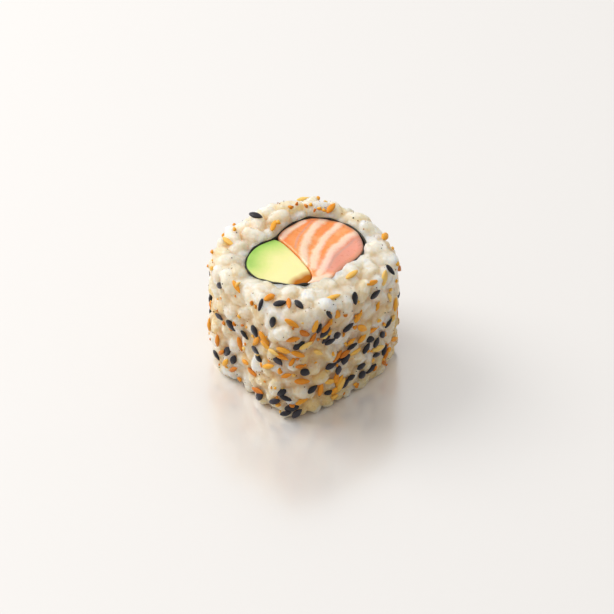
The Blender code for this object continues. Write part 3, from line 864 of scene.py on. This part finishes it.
def grain_shapes():
    """Four cooked grains of unit half-length along X, all blunt: plump, tapered, bent and narrow."""
    shapes = []
    looks = (
        # taper of the +X end, squeeze of the -X end, flatness, bend, roundness
        (0.92, 1.00, 0.92, 0.00, 0.70),
        (0.76, 1.04, 0.88, -0.10, 0.80),
        (0.88, 0.94, 0.97, 0.14, 0.62),
        (1.02, 0.82, 0.84, 0.08, 0.74),
    )
    for number, (taper, squeeze, flatness, bend, roundness) in enumerate(looks):
        bpy.ops.object.select_all(action="DESELECT")
        bpy.ops.mesh.primitive_cube_add(size=1.64, location=(0, 0, 0))
        grain = start_shape(f"grain_{number}")
        bpy.ops.object.mode_set(mode="EDIT")
        bpy.ops.mesh.select_all(action="SELECT")
        bpy.ops.mesh.subdivide(number_cuts=4)
        bpy.ops.transform.tosphere(value=roundness)
        select_points(grain, lambda co: co.x > 0.3)
        bpy.ops.transform.resize(value=(1, taper, taper), center_override=(0.3, 0, 0))
        select_points(grain, lambda co: co.x < -0.3)
        bpy.ops.transform.resize(value=(1, squeeze, squeeze), center_override=(-0.3, 0, 0))
        select_points(grain, lambda co: abs(co.x) > 0.6)
        bpy.ops.transform.translate(value=(0, 0, bend))
        select_points(grain, lambda co: True)
        bpy.ops.transform.resize(value=(1, 1, flatness), center_override=(0, 0, 0))
        bpy.ops.object.mode_set(mode="OBJECT")
        shapes.append(grain)
    return shapes


def seed_shapes():
    """Three sesame seeds of unit length, width and thickness, with the tip at +X and a raised rim."""
    shapes = []
    for number, (tip, dish) in enumerate(((0.62, 0.84), (0.50, 0.76), (0.72, 0.88))):
        bpy.ops.mesh.primitive_uv_sphere_add(
            segments=12, ring_count=8, radius=0.5, location=(0, 0, 0), rotation=(0, math.pi / 2, 0)
        )
        seed = start_shape(f"seed_{number}")
        bpy.ops.object.transform_apply(rotation=True)
        select_points(seed, lambda co: co.x > 0.1)
        bpy.ops.transform.resize(value=(1, 0.86, 0.86), center_override=(0.1, 0, 0))
        select_points(seed, lambda co: co.x > 0.3)
        bpy.ops.transform.resize(value=(1, tip + 0.3, tip + 0.3), center_override=(0.3, 0, 0))
        select_points(seed, lambda co: co.x > 0.42)
        bpy.ops.transform.resize(value=(1, tip, tip), center_override=(0.42, 0, 0))
        select_points(seed, lambda co: abs(co.y) < 0.2 and abs(co.x) < 0.36)
        bpy.ops.transform.resize(value=(1, 1, dish), center_override=(0, 0, 0))
        bpy.ops.object.mode_set(mode="OBJECT")
        shapes.append(seed)
    return shapes


def broken_seed_shapes(seeds):
    """Halves and thin slivers of a seed, cut off and closed."""
    shapes = []
    for number, (cut_x, cut_y) in enumerate(((0.05, 0.0), (-0.1, 0.25), (0.0, -0.4))):
        bpy.ops.object.select_all(action="DESELECT")
        piece = seeds[number].copy()
        piece.data = seeds[number].data.copy()
        bpy.context.scene.collection.objects.link(piece)
        bpy.context.view_layer.objects.active = piece
        piece.select_set(True)
        select_points(piece, lambda co: True)
        bpy.ops.mesh.bisect(
            plane_co=(cut_x, 0, 0), plane_no=(1, cut_y, 0.2), use_fill=True, clear_outer=True
        )
        bpy.ops.object.mode_set(mode="OBJECT")
        piece.name = f"broken_seed_{number}"
        shapes.append(piece)
    return shapes


def arrays_of(shape):
    points = np.array([v.co[:] for v in shape.data.vertices])
    return points, [tuple(p.vertices) for p in shape.data.polygons]


def joined(name, shapes, places, tones):
    """One mesh of many copies: each place is (which shape, its matrix), each with a tone of its own."""
    sources = [arrays_of(shape) for shape in shapes]
    points, faces, levels = [], [], []
    count = 0
    for (which, matrix), tone in zip(places, tones):
        source, corners = sources[which]
        turned = np.array(matrix)
        points.append(source @ turned[:3, :3].T + turned[:3, 3])
        faces += [tuple(count + i for i in face) for face in corners]
        levels += [tone] * len(source)
        count += len(source)
    data = bpy.data.meshes.new(name)
    data.from_pydata(np.concatenate(points).tolist(), [], faces)
    data.attributes.new("tone", "FLOAT", "POINT").data.foreach_set("value", levels)
    data.shade_smooth()
    piece = bpy.data.objects.new(name, data)
    bpy.context.scene.collection.objects.link(piece)
    return piece


def facing(centre, along, outward, size):
    """A matrix with +X along one direction and +Z as near another as it can be."""
    x = Vector(along).normalized()
    z = Vector(outward)
    z = (z - x * z.dot(x)).normalized()
    y = z.cross(x)
    turn = Matrix((x, y, z)).transposed().to_4x4()
    return Matrix.Translation(Vector(centre)) @ turn @ Matrix.Diagonal((*size, 1))


def layer_grains(random, turned, extra_sink, tones):
    """One layer of packed grains, as (centre, direction, outward, half-length, radius, tone)."""
    first, second, radius = pack_grains(random, spread_over_skin(GRAIN_PLACES, turned), extra_sink)
    centre = (first + second) / 2
    outward = -slope(skin_depth, centre)
    tone = random.uniform(*tones, len(centre))
    return [
        (
            Vector(centre[i]),
            Vector(first[i] - second[i]).normalized(),
            Vector(outward[i] + random.uniform(-0.5, 0.5, 3)),
            float(np.linalg.norm(first[i] - second[i]) / 2 + radius[i]),
            float(radius[i]),
            float(tone[i]),
        )
        for i in range(len(centre))
    ]


def rim_grains(random):
    """Small grains round the top of the hole, against the nori; at the front they lean over it."""
    grains = []
    turns = np.linspace(0, 2 * math.pi, RIM_GRAINS, endpoint=False)
    turns += random.uniform(-0.06, 0.06, RIM_GRAINS)
    for turn in turns:
        front = swell(turn, LEAN_DEG, LEAN_WIDTH_DEG)
        radius = random.uniform(*RIM_RADIUS)
        half = radius + random.uniform(0.3, 1.1) * MM
        away = radius * (0.92 - random.uniform(0, 0.15) - front * random.uniform(0.05, 0.4))
        spot = rice_wall(np.array([turn]), away)[0]
        ahead = rice_wall(np.array([turn + 0.05]), away)[0]
        along = Vector((ahead[0] - spot[0], ahead[1] - spot[1], 0)).normalized()
        along += Vector(random.uniform(-0.6, 0.6, 3))
        top = NORI_TOP + random.uniform(*RIM_STANDS) + front * LEAN_STANDS
        top -= RIM_DIP * swell(turn, DIP_DEG, DIP_WIDTH_DEG)
        centre = Vector((spot[0], spot[1], top - radius))
        tone = random.uniform(0.45, 1.0)
        grains.append((centre, along.normalized(), Vector((0, 0, 1)), half, radius, tone))
    return grains


def seen_along(camera, ray, outward, turn):
    """The direction on a surface that the camera sees turned by so many degrees."""
    right, up, _ = camera.matrix_world.to_3x3().transposed()
    wanted = right * math.cos(math.radians(turn)) + up * math.sin(math.radians(turn))
    return wanted - ray * (wanted.dot(outward) / min(ray.dot(outward), -GRAZING))


def seen_grains(camera, tree):
    """Pale grains that the photograph shows on top of the others, each laid where it is seen."""
    grains = []
    for pixel_x, pixel_y, turn, length_mm, width_mm in GRAINS_IN_VIEW:
        hit, ray = seen_place(camera, tree, pixel_x, pixel_y)
        if hit is None:
            continue
        outward = -Vector(one(lambda p: slope(skin_depth, p), hit))
        radius = width_mm / 2 * MM
        centre = hit - outward * (radius * SEEN_GRAIN_SINK)
        along = seen_along(camera, ray, outward, turn).normalized()
        grains.append((centre, along, outward, length_mm / 2 * MM, radius, 1.0))
    return grains


def grain_field(points, grains):
    """For each point the tone of its grain, and how far it is from where it meets the next one; the rice's
    colour is darkened there as painted shade.
    """
    centre = np.array([g[0][:] for g in grains])
    along = np.array([g[1][:] for g in grains])
    half = np.array([g[3] - g[4] for g in grains])
    radius = np.array([g[4] for g in grains])
    tones = np.array([g[5] for g in grains])
    tone, seam_shade = np.zeros(len(points)), np.zeros(len(points))
    for start in range(0, len(points), POINTS_AT_ONCE):
        end = start + POINTS_AT_ONCE
        chunk = points[start:end]
        offset = chunk[:, None, :] - centre[None]
        travel = np.clip((offset * along[None]).sum(2), -half, half)
        distance = np.linalg.norm(offset - along[None] * travel[:, :, None], axis=2) - radius
        nearest = np.argpartition(distance, 1, axis=1)[:, :2]
        rows = np.arange(len(chunk))[:, None]
        pair = distance[rows, nearest]
        order = np.argsort(pair, axis=1)
        nearest, pair = nearest[rows, order], pair[rows, order]
        apart = np.clip((pair[:, 1] - pair[:, 0]) / SEAM_WIDTH, 0, 1)
        share = 0.5 + 0.5 * apart
        tone[start:end] = tones[nearest[:, 0]] * share + tones[nearest[:, 1]] * (1 - share)
        seam_shade[start:end] = apart
    return tone, seam_shade


def dress(piece, finish, node=None):
    """Gives a piece its material and its body, and hides the node that it replaces."""
    piece.data.materials.clear()
    piece.data.materials.append(finish)
    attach(piece, "root")
    if node:
        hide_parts(node)


def prism(name, outline, low, high):
    """A circle drawn to an outline, filled and extruded upwards."""
    bpy.ops.object.select_all(action="DESELECT")
    bpy.ops.mesh.primitive_circle_add(vertices=len(outline), fill_type="NGON", location=(0, 0, 0))
    shape = start_shape(name)
    for point, (x, y) in zip(shape.data.vertices, outline):
        point.co = (x, y, low)
    bpy.ops.object.mode_set(mode="EDIT")
    bpy.ops.mesh.select_all(action="SELECT")
    bpy.ops.mesh.extrude_region_move(TRANSFORM_OT_translate={"value": (0, 0, high - low)})
    bpy.ops.mesh.select_all(action="SELECT")
    bpy.ops.mesh.normals_make_consistent(inside=False)
    bpy.ops.object.mode_set(mode="OBJECT")
    return shape


def rough_up(shape, size, depth, seed):
    """Moves the points of a piece in and out by soft noise."""
    normals = [v.normal.copy() for v in shape.data.vertices]
    for vertex, normal in zip(shape.data.vertices, normals):
        at = vertex.co / size + Vector((seed, 0, 0))
        vertex.co += normal * (noise.noise(at) * depth)


def rice_core():
    """The pressed rice under the grains, open for the nori."""
    angle = np.linspace(0, 2 * math.pi, CORE_STEPS, endpoint=False)
    high = ROLL_HEIGHT - TOP_WAVE - CORE_DEPTH * 0.8
    radius = skin_radius(angle, ROLL_HEIGHT / 2) - CORE_DEPTH
    outline = np.stack([radius * np.cos(angle), radius * np.sin(angle)], 1)
    core = prism("rice_core", outline, CORE_BOTTOM, high)
    select_points(core, lambda co: co.z > high - MM)
    bpy.ops.mesh.bevel(offset=CORE_EDGE, segments=4, affect="EDGES")
    bpy.ops.object.mode_set(mode="OBJECT")
    hole = prism("filling_space", rice_wall(angle, 0.02 * MM), -PAST_ENDS, ROLL_HEIGHT + PAST_ENDS)
    bpy.ops.object.select_all(action="DESELECT")
    core.select_set(True)
    bpy.context.view_layer.objects.active = core
    apply_modifier(core, "BOOLEAN", operation="DIFFERENCE", object=hole)
    bpy.data.objects.remove(hole, do_unlink=True)
    return core


def keep_off_nori(shape):
    """Moves points that strayed over the rice's inner wall back to it, and none goes below the table."""
    points = np.array([v.co[:] for v in shape.data.vertices])
    offset = points[:, :2] - np.array(FILLING_CENTRE)
    angle = np.arctan2(offset[:, 1], offset[:, 0])
    wall = np.linalg.norm(rice_wall(angle, 0.0) - np.array(FILLING_CENTRE), axis=1)
    inside = np.maximum(wall - np.linalg.norm(offset, axis=1), 0)
    inside[points[:, 2] > NORI_TOP + LEAN_OVER] = 0
    points += slope(hole_clearance, points) * inside[:, None]
    points[:, 2] = np.maximum(points[:, 2], 0)
    shape.data.vertices.foreach_set("co", points.ravel())
    return points


def drop_inner_shells(shape):
    """Deletes the hollows that the fusing has sealed, and loose scraps."""
    bpy.ops.object.select_all(action="DESELECT")
    shape.select_set(True)
    bpy.context.view_layer.objects.active = shape
    outermost = max(shape.data.vertices, key=lambda v: v.co.x).index
    select_points(shape, lambda co: False)
    bpy.ops.object.mode_set(mode="OBJECT")
    shape.data.vertices[outermost].select = True
    bpy.ops.object.mode_set(mode="EDIT")
    bpy.ops.mesh.select_linked()
    bpy.ops.mesh.select_all(action="INVERT")
    bpy.ops.mesh.delete(type="VERT")
    bpy.ops.object.mode_set(mode="OBJECT")


def fused_rice(grains, mass, pale):
    """The grains and the core fused into one sticky mass, softened and a little uneven."""
    core = rice_core()
    bpy.ops.object.select_all(action="DESELECT")
    for part in (core, pale, mass):
        part.select_set(True)
    bpy.context.view_layer.objects.active = mass
    bpy.ops.object.join()
    apply_modifier(mass, "REMESH", mode="VOXEL", voxel_size=RICE_VOXEL)
    drop_inner_shells(mass)
    apply_modifier(mass, "SMOOTH", factor=0.5, iterations=RICE_SMOOTHING)
    for size, depth, seed in RICE_UNEVENNESS:
        rough_up(mass, size, depth, seed)
    count = sum(len(p.vertices) - 2 for p in mass.data.polygons)
    apply_modifier(mass, "DECIMATE", ratio=min(1.0, RICE_TRIANGLES / count))
    points = keep_off_nori(mass)
    # The second value marks where grains meet, for the painted shade in the rice's colour.
    tone, seam_shade = grain_field(points, grains)
    if "tone" in mass.data.attributes:
        mass.data.attributes.remove(mass.data.attributes["tone"])
    point_values(mass, "tone", tone)
    point_values(mass, "seam_shade", seam_shade)
    mass.data.shade_smooth()


def rice(camera):
    """Every grain in one sticky mass, with the tone of each grain kept."""
    shapes = grain_shapes()
    random = np.random.default_rng(GRAIN_SEED)
    grains = layer_grains(random, 0.0, 0.0, (0.25, 0.95))
    # The deeper grains get darker tones than the outer ones: painted shade in the gaps between the outer
    # grains.
    grains += layer_grains(np.random.default_rng(UNDER_SEED), UNDER_TURN, UNDER_SINK, (0.15, 0.75))
    grains += rim_grains(random)

    def as_piece(name, members):
        places = []
        for centre, along, outward, half, radius, _ in members:
            size = (half, radius * GRAIN_SWELLING, radius * GRAIN_SWELLING)
            places.append((int(random.integers(len(shapes))), facing(centre, along, outward, size)))
        return joined(name, shapes, places, [member[-1] for member in members])

    mass = as_piece("rice_grains", grains)
    on_top = seen_grains(camera, surface_of(mass))
    pale = as_piece("pale_grains", on_top)
    fused_rice(grains + on_top, mass, pale)
    dress(mass, rice_material(), "rice")
    for shape in shapes:
        bpy.data.objects.remove(shape, do_unlink=True)
    return mass


def rounded(outline, passes, points):
    """The outline with its corners eased and its points evenly spaced."""
    for _ in range(passes):
        outline = (np.roll(outline, 1, axis=0) + 2 * outline + np.roll(outline, -1, axis=0)) / 4
    loop = np.vstack([outline, outline[:1]])
    along = np.concatenate([[0], np.cumsum(np.linalg.norm(np.diff(loop, axis=0), axis=1))])
    at = np.linspace(0, along[-1], points, endpoint=False)
    return np.stack([np.interp(at, along, loop[:, k]) for k in range(2)], axis=1)


def parting_line(side_shift):
    """Where salmon and avocado meet: an arc from the notch to the front, bulging to the salmon."""
    ends = filling_point(np.radians([PARTING_START_DEG, PARTING_END_DEG]))
    chord = ends[1] - ends[0]
    across = np.array([-chord[1], chord[0]]) / np.linalg.norm(chord)
    share = 1 - np.linspace(1, 0, PARTING_STEPS)[:, None] ** PARTING_CROWDING
    bulge = PARTING_BULGE * share**PARTING_RISE * np.sqrt(1 - share**PARTING_TURN) + side_shift
    return ends[0] + chord * share + across * bulge


def filling_piece(name, first_deg, last_deg, parting):
    """A strip of filling from the underside to the top, with a fine even mesh."""
    angle = np.radians(np.linspace(first_deg, last_deg, FILLING_STEPS))
    outline = np.vstack([filling_point(angle)[1:-1], parting[1:-1]])
    piece = prism(name, rounded(outline, 2, OUTLINE_POINTS), 0.0, FILLING_TOP)
    select_points(piece, lambda co: co.z > FILLING_TOP / 2)
    bpy.ops.mesh.bevel(offset=FILLING_EDGE, segments=3, affect="EDGES")
    apply_modifier(piece, "REMESH", mode="VOXEL", voxel_size=FILLING_VOXEL)
    apply_modifier(piece, "SMOOTH", factor=0.5, iterations=3)
    piece.data.shade_smooth()
    return piece, np.array([v.co[:] for v in piece.data.vertices])


def plan_noise(points, size, seed):
    """Soft noise in plan, between about -1 and 1."""
    return np.array([noise.noise(Vector((x / size, y / size, seed))) for x, y, _ in points])


def point_values(piece, name, values):
    piece.data.attributes.new(name, "FLOAT", "POINT").data.foreach_set("value", values)


def carve_face(piece, points, relief, **levels):
    """Low relief on the cut face, fading out just under it, and levels for the material."""
    on_face = np.clip((points[:, 2] - (FILLING_TOP - FACE_DEPTH)) / FACE_FADE, 0, 1)
    points[:, 2] += on_face * relief
    piece.data.vertices.foreach_set("co", points.ravel())
    for name, values in levels.items():
        point_values(piece, name, values)


def distance_to(points, line):
    """Distance in plan from each point to the nearest of a line's points."""
    return np.sqrt(((points[:, None, :2] - line[None]) ** 2).sum(2)).min(1)


def soft_band(points, lines, width):
    """1 along the lines, fading out over half a width to both sides."""
    away = np.min([distance_to(points, line) for line in lines], axis=0)
    return 1 - np.clip((away - width * 0.18) / (width * 0.62), 0, 1)


def salmon(camera):
    """The larger strip, with its fat stripes where the photograph shows them."""
    piece, points = filling_piece(
        "salmon_strip", PARTING_END_DEG - 360, PARTING_START_DEG, parting_line(PARTING_GAP)
    )
    moved = points.copy()
    for axis, seed in enumerate((0.3, 8.3)):
        moved[:, axis] += plan_noise(points, 3 * MM, seed) * STRIPE_WANDER
    fat = np.zeros(len(points))
    for width_mm, *pixels in SALMON_STRIPES:
        fat = np.maximum(fat, soft_band(moved, [seen_arc(camera, pixels)], width_mm * MM))
    vein = soft_band(moved, [seen_arc(camera, pixels) for pixels in SALMON_VEINS], VEIN_WIDTH)
    from_blush = distance_to(moved, seen_arc(camera, SALMON_BLUSH))
    blush = 1 - np.clip((from_blush - BLUSH_HEART) / BLUSH_FADE, 0, 1)
    rim = filling_point(np.radians(np.linspace(-48, 150, 200)))
    edge = np.clip(distance_to(moved, rim) / SALMON_RIM, 0, 1)
    relief = (fat - 0.5) * STRIPE_RELIEF + plan_noise(points, 4 * MM, 9.0) * FACE_UNEVENNESS
    carve_face(piece, points, relief, fat=fat, vein=vein, blush=blush, edge=edge)
    dress(piece, salmon_material(), "salmon")


def avocado():
    """The smaller strip, green at its skin side and brown at its tip."""
    piece, points = filling_piece(
        "avocado_strip", PARTING_START_DEG, PARTING_END_DEG, parting_line(-PARTING_GAP)[::-1]
    )
    skin_side = filling_point(np.radians(np.linspace(150, 200, 120)))
    rind = np.clip(distance_to(points, skin_side) / RIND_FADE, 0, 1)
    parting = parting_line(0.0)
    edge = np.clip(distance_to(points, parting[-5:]) / TIP_FADE, 0, 1)
    rim = np.clip(distance_to(points, parting[14:]) / PARTING_RIM, 0, 1)
    relief = plan_noise(points, 5 * MM, 4.0) * FACE_UNEVENNESS - AVOCADO_SINK
    carve_face(piece, points, relief, rind=rind, rim=rim, edge=edge)
    dress(piece, avocado_material(), "avocado")


def nori():
    """A thin sheet bent round the filling, with a ragged upper edge, and given its thickness."""
    bpy.ops.object.select_all(action="DESELECT")
    across, up = SHEET_STEPS
    bpy.ops.mesh.primitive_grid_add(
        x_subdivisions=across, y_subdivisions=up, size=2.0, location=(0, 0, 0)
    )
    sheet = start_shape("nori_sheet")
    flat = np.array([v.co[:] for v in sheet.data.vertices])
    travelled = (flat[:, 0] + 1) / 2 * math.radians(360 + NORI_OVERLAP_DEG)
    angle = math.radians(NORI_START_DEG) - travelled
    crumple = np.array([noise.noise(Vector((a * 6, z * 3, 0))) for a, z in zip(travelled, flat[:, 1])])
    crumple *= SHEET_CRUMPLE
    stand_off = nori_lift(travelled) * SHEET_LIFT + SHEET_THICKNESS / 2
    middle = filling_point(angle, stand_off + crumple)
    ragged = np.array([noise.noise(Vector((a * 5, 7.0, 0))) for a in travelled])
    height = (flat[:, 1] + 1) / 2 * (NORI_TOP + ragged * SHEET_RAGGED - SHEET_LOWER)
    placed = np.stack([middle[:, 0], middle[:, 1], height], 1)
    sheet.data.vertices.foreach_set("co", placed.ravel())
    sheet.data.update()
    apply_modifier(sheet, "SOLIDIFY", thickness=SHEET_THICKNESS, offset=0.0, use_even_offset=True)
    sheet.data.shade_smooth()
    dress(sheet, nori_material(), "nori")


def surface_of(piece):
    """A piece's surface to lay things on."""
    points = [v.co.copy() for v in piece.data.vertices]
    return BVHTree.FromPolygons(points, [list(p.vertices) for p in piece.data.polygons])


def one(field, point):
    return field(np.array([point[:]]))[0]


def rest_on(tree, spot, lift):
    """A point near the skin moved onto the rice, no deeper than the crevices between grains let it."""
    outward = -Vector(one(lambda p: slope(skin_depth, p), spot))
    start = spot + outward * REACH_FROM
    hit, normal, _, _ = tree.ray_cast(start, -outward)
    if hit is None:
        return None
    depth = one(skin_depth, hit)
    if depth > CREVICE_DEPTH:
        hit = hit + outward * (depth - CREVICE_DEPTH)
    flat = (normal * 0.45 + outward).normalized()
    return hit + flat * lift, flat


def pixel_ray(camera, pixel_x, pixel_y):
    """The camera's way through a pixel of the photograph."""
    half = FRAME_PIXELS / 2
    scale = PIXELS_PER_METRE * VIEW_DISTANCE
    ray = Vector(((pixel_x - half) / scale, (half - pixel_y) / scale, -1)).normalized()
    return camera.matrix_world.to_3x3() @ ray


def seen_place(camera, tree, pixel_x, pixel_y):
    """The spot on the rice under a pixel of the photograph, and the ray that finds it."""
    ray = pixel_ray(camera, pixel_x, pixel_y)
    hit, _, _, _ = tree.ray_cast(camera.location, ray)
    return hit, ray


def spun(normal, spin):
    """A direction along a surface, turned about its normal."""
    flat = normal.orthogonal().normalized()
    return flat * math.cos(spin) + normal.cross(flat) * math.sin(spin)


def side_spot(angle, height, radius=ROLL_RADIUS):
    """A spot at a bearing and a height, on the side unless a smaller radius is given."""
    return Vector((radius * math.cos(angle), radius * math.sin(angle), height))


def seen_seeds(camera, tree, listed, random, size, usual):
    """Seeds of a list laid on the rice so that each is seen at its pixel, with its tip that way."""
    places = []
    for pixel_x, pixel_y, turn, *own in listed:
        length, breadth = own or usual
        hit, ray = seen_place(camera, tree, pixel_x, pixel_y)
        if hit is None:
            inwards = 4 if pixel_x < MIDDLE_PIXEL else -4
            hit, ray = seen_place(camera, tree, pixel_x + inwards, pixel_y + 3)
        if hit is None:
            continue
        rested = rest_on(tree, hit, SEED_LIFT)
        if rested is None:
            continue
        spot, normal = rested
        along = seen_along(camera, ray, normal, turn)
        grown = Vector(size) * random.uniform(0.92, 1.06)
        grown.x *= length
        grown.y *= breadth * random.uniform(0.8, 1.12)
        places.append((int(random.integers(3)), facing(spot, along, normal, grown)))
    return places


def hidden_seeds(camera, tree, count, random, size, taken):
    """Seeds strewn evenly over the side where the photograph doesn't show it."""
    places = []
    for i in range(count):
        angle = i * GOLDEN_ANGLE + random.uniform(-0.3, 0.3)
        height = (0.05 + 0.88 * (1 - ((i + 0.5) / count) ** 0.85)) * ROLL_HEIGHT
        spot = side_spot(angle, height)
        spin = random.uniform(0, 2 * math.pi)
        grown = Vector(size) * random.uniform(0.86, 1.08)
        which = int(random.integers(3))
        seen = (camera.location - spot).normalized().dot(side_spot(angle, 0, 1))
        if seen > UNSEEN or (seen > UNSEEN_NEAR_TOP and height > NEAR_TOP * ROLL_HEIGHT):
            continue
        rested = rest_on(tree, spot, SEED_LIFT)
        if rested is None or any((rested[0] - other).length < SEED_SPACING for other in taken):
            continue
        spot, normal = rested
        taken.append(spot)
        places.append((which, facing(spot, spun(normal, spin), normal, grown)))
    return places


def loose_bits(tree, random):
    """Broken pieces of seed all over the side."""
    places = []
    for i in range(BIT_COUNT):
        angle = i * GOLDEN_ANGLE + random.uniform(-0.4, 0.4)
        height = random.uniform(0.03, 0.97) * ROLL_HEIGHT
        rested = rest_on(tree, side_spot(angle, height), BIT_LIFT)
        spin = random.uniform(0, 2 * math.pi)
        size = Vector(BIT_SIZE) * random.uniform(0.45, 1.0)
        which = int(random.integers(3))
        if rested:
            spot, normal = rested
            places.append((which, facing(spot, spun(normal, spin), normal, size)))
    return places


def loose_specks(tree, random):
    """Dark specks all over the side, and one in five on the top."""
    places = []
    for i in range(SPECK_COUNT):
        angle = i * GOLDEN_ANGLE * 1.7 + random.uniform(-0.4, 0.4)
        height = random.uniform(0.02, 0.98) * ROLL_HEIGHT
        radius = ROLL_RADIUS * (1 if random.uniform() < 0.8 else random.uniform(0.75, 0.95))
        size = Vector((1, random.uniform(0.5, 1.0), 0.6)) * random.uniform(*SPECK_SIZE)
        spin = random.uniform(0, 2 * math.pi)
        if radius < ROLL_RADIUS:
            height = ROLL_HEIGHT
        rested = rest_on(tree, side_spot(angle, height, radius), SPECK_LIFT)
        if rested:
            spot, normal = rested
            places.append((0, facing(spot, spun(normal, spin), normal, size)))
    return places


def lift_off_table(shapes, places):
    """Lifts the seeds that would dip under the table."""
    sources = [arrays_of(shape)[0] for shape in shapes]
    for which, matrix in places:
        low = float((sources[which] @ np.array(matrix)[2, :3]).min()) + matrix.translation.z
        if low < 0:
            matrix.translation = matrix.translation - Vector((0, 0, low))


def strew(camera, mass):
    """Black and toasted sesame, broken bits and dark specks, each kind as one piece."""
    tree = surface_of(mass)
    random = np.random.default_rng(STREW_SEED)
    seeds = seed_shapes()
    broken = broken_seed_shapes(seeds)
    bpy.ops.mesh.primitive_ico_sphere_add(subdivisions=1, radius=0.5, location=(0, 0, 0))
    speck = start_shape("speck")

    def piece(name, shapes, places, finish):
        lift_off_table(shapes, places)
        dress(joined(name, shapes, places, random.uniform(0, 1, len(places))), finish)

    black = seen_seeds(camera, tree, BLACK_IN_VIEW, random, BLACK_SIZE, BLACK_USUAL)
    golden = seen_seeds(camera, tree, GOLDEN_IN_VIEW, random, GOLDEN_SIZE, GOLDEN_USUAL)
    taken = [matrix.translation for _, matrix in black + golden]
    black += hidden_seeds(camera, tree, HIDDEN_BLACK, random, BLACK_SIZE, taken)
    golden += hidden_seeds(camera, tree, HIDDEN_GOLDEN, random, GOLDEN_SIZE, taken)
    golden_finish = golden_seed_material()
    piece("black_sesame", seeds, black, black_seed_material())
    piece("toasted_sesame", seeds, golden, golden_finish)
    bits = seen_seeds(camera, tree, BITS_IN_VIEW, random, GOLDEN_SIZE, GOLDEN_USUAL)
    piece("toasted_bits", broken, bits + loose_bits(tree, random), golden_finish)
    piece("dark_specks", [speck], loose_specks(tree, random), speck_material())
    for shape in (*seeds, *broken, speck):
        bpy.data.objects.remove(shape, do_unlink=True)


def main():
    bpy.ops.object.select_all(action="DESELECT")
    camera = photo_camera()
    studio()
    table_top()
    mass = rice(camera)
    nori()
    salmon(camera)
    avocado()
    strew(camera, mass)


main()

bpy.context.view_layer.update()
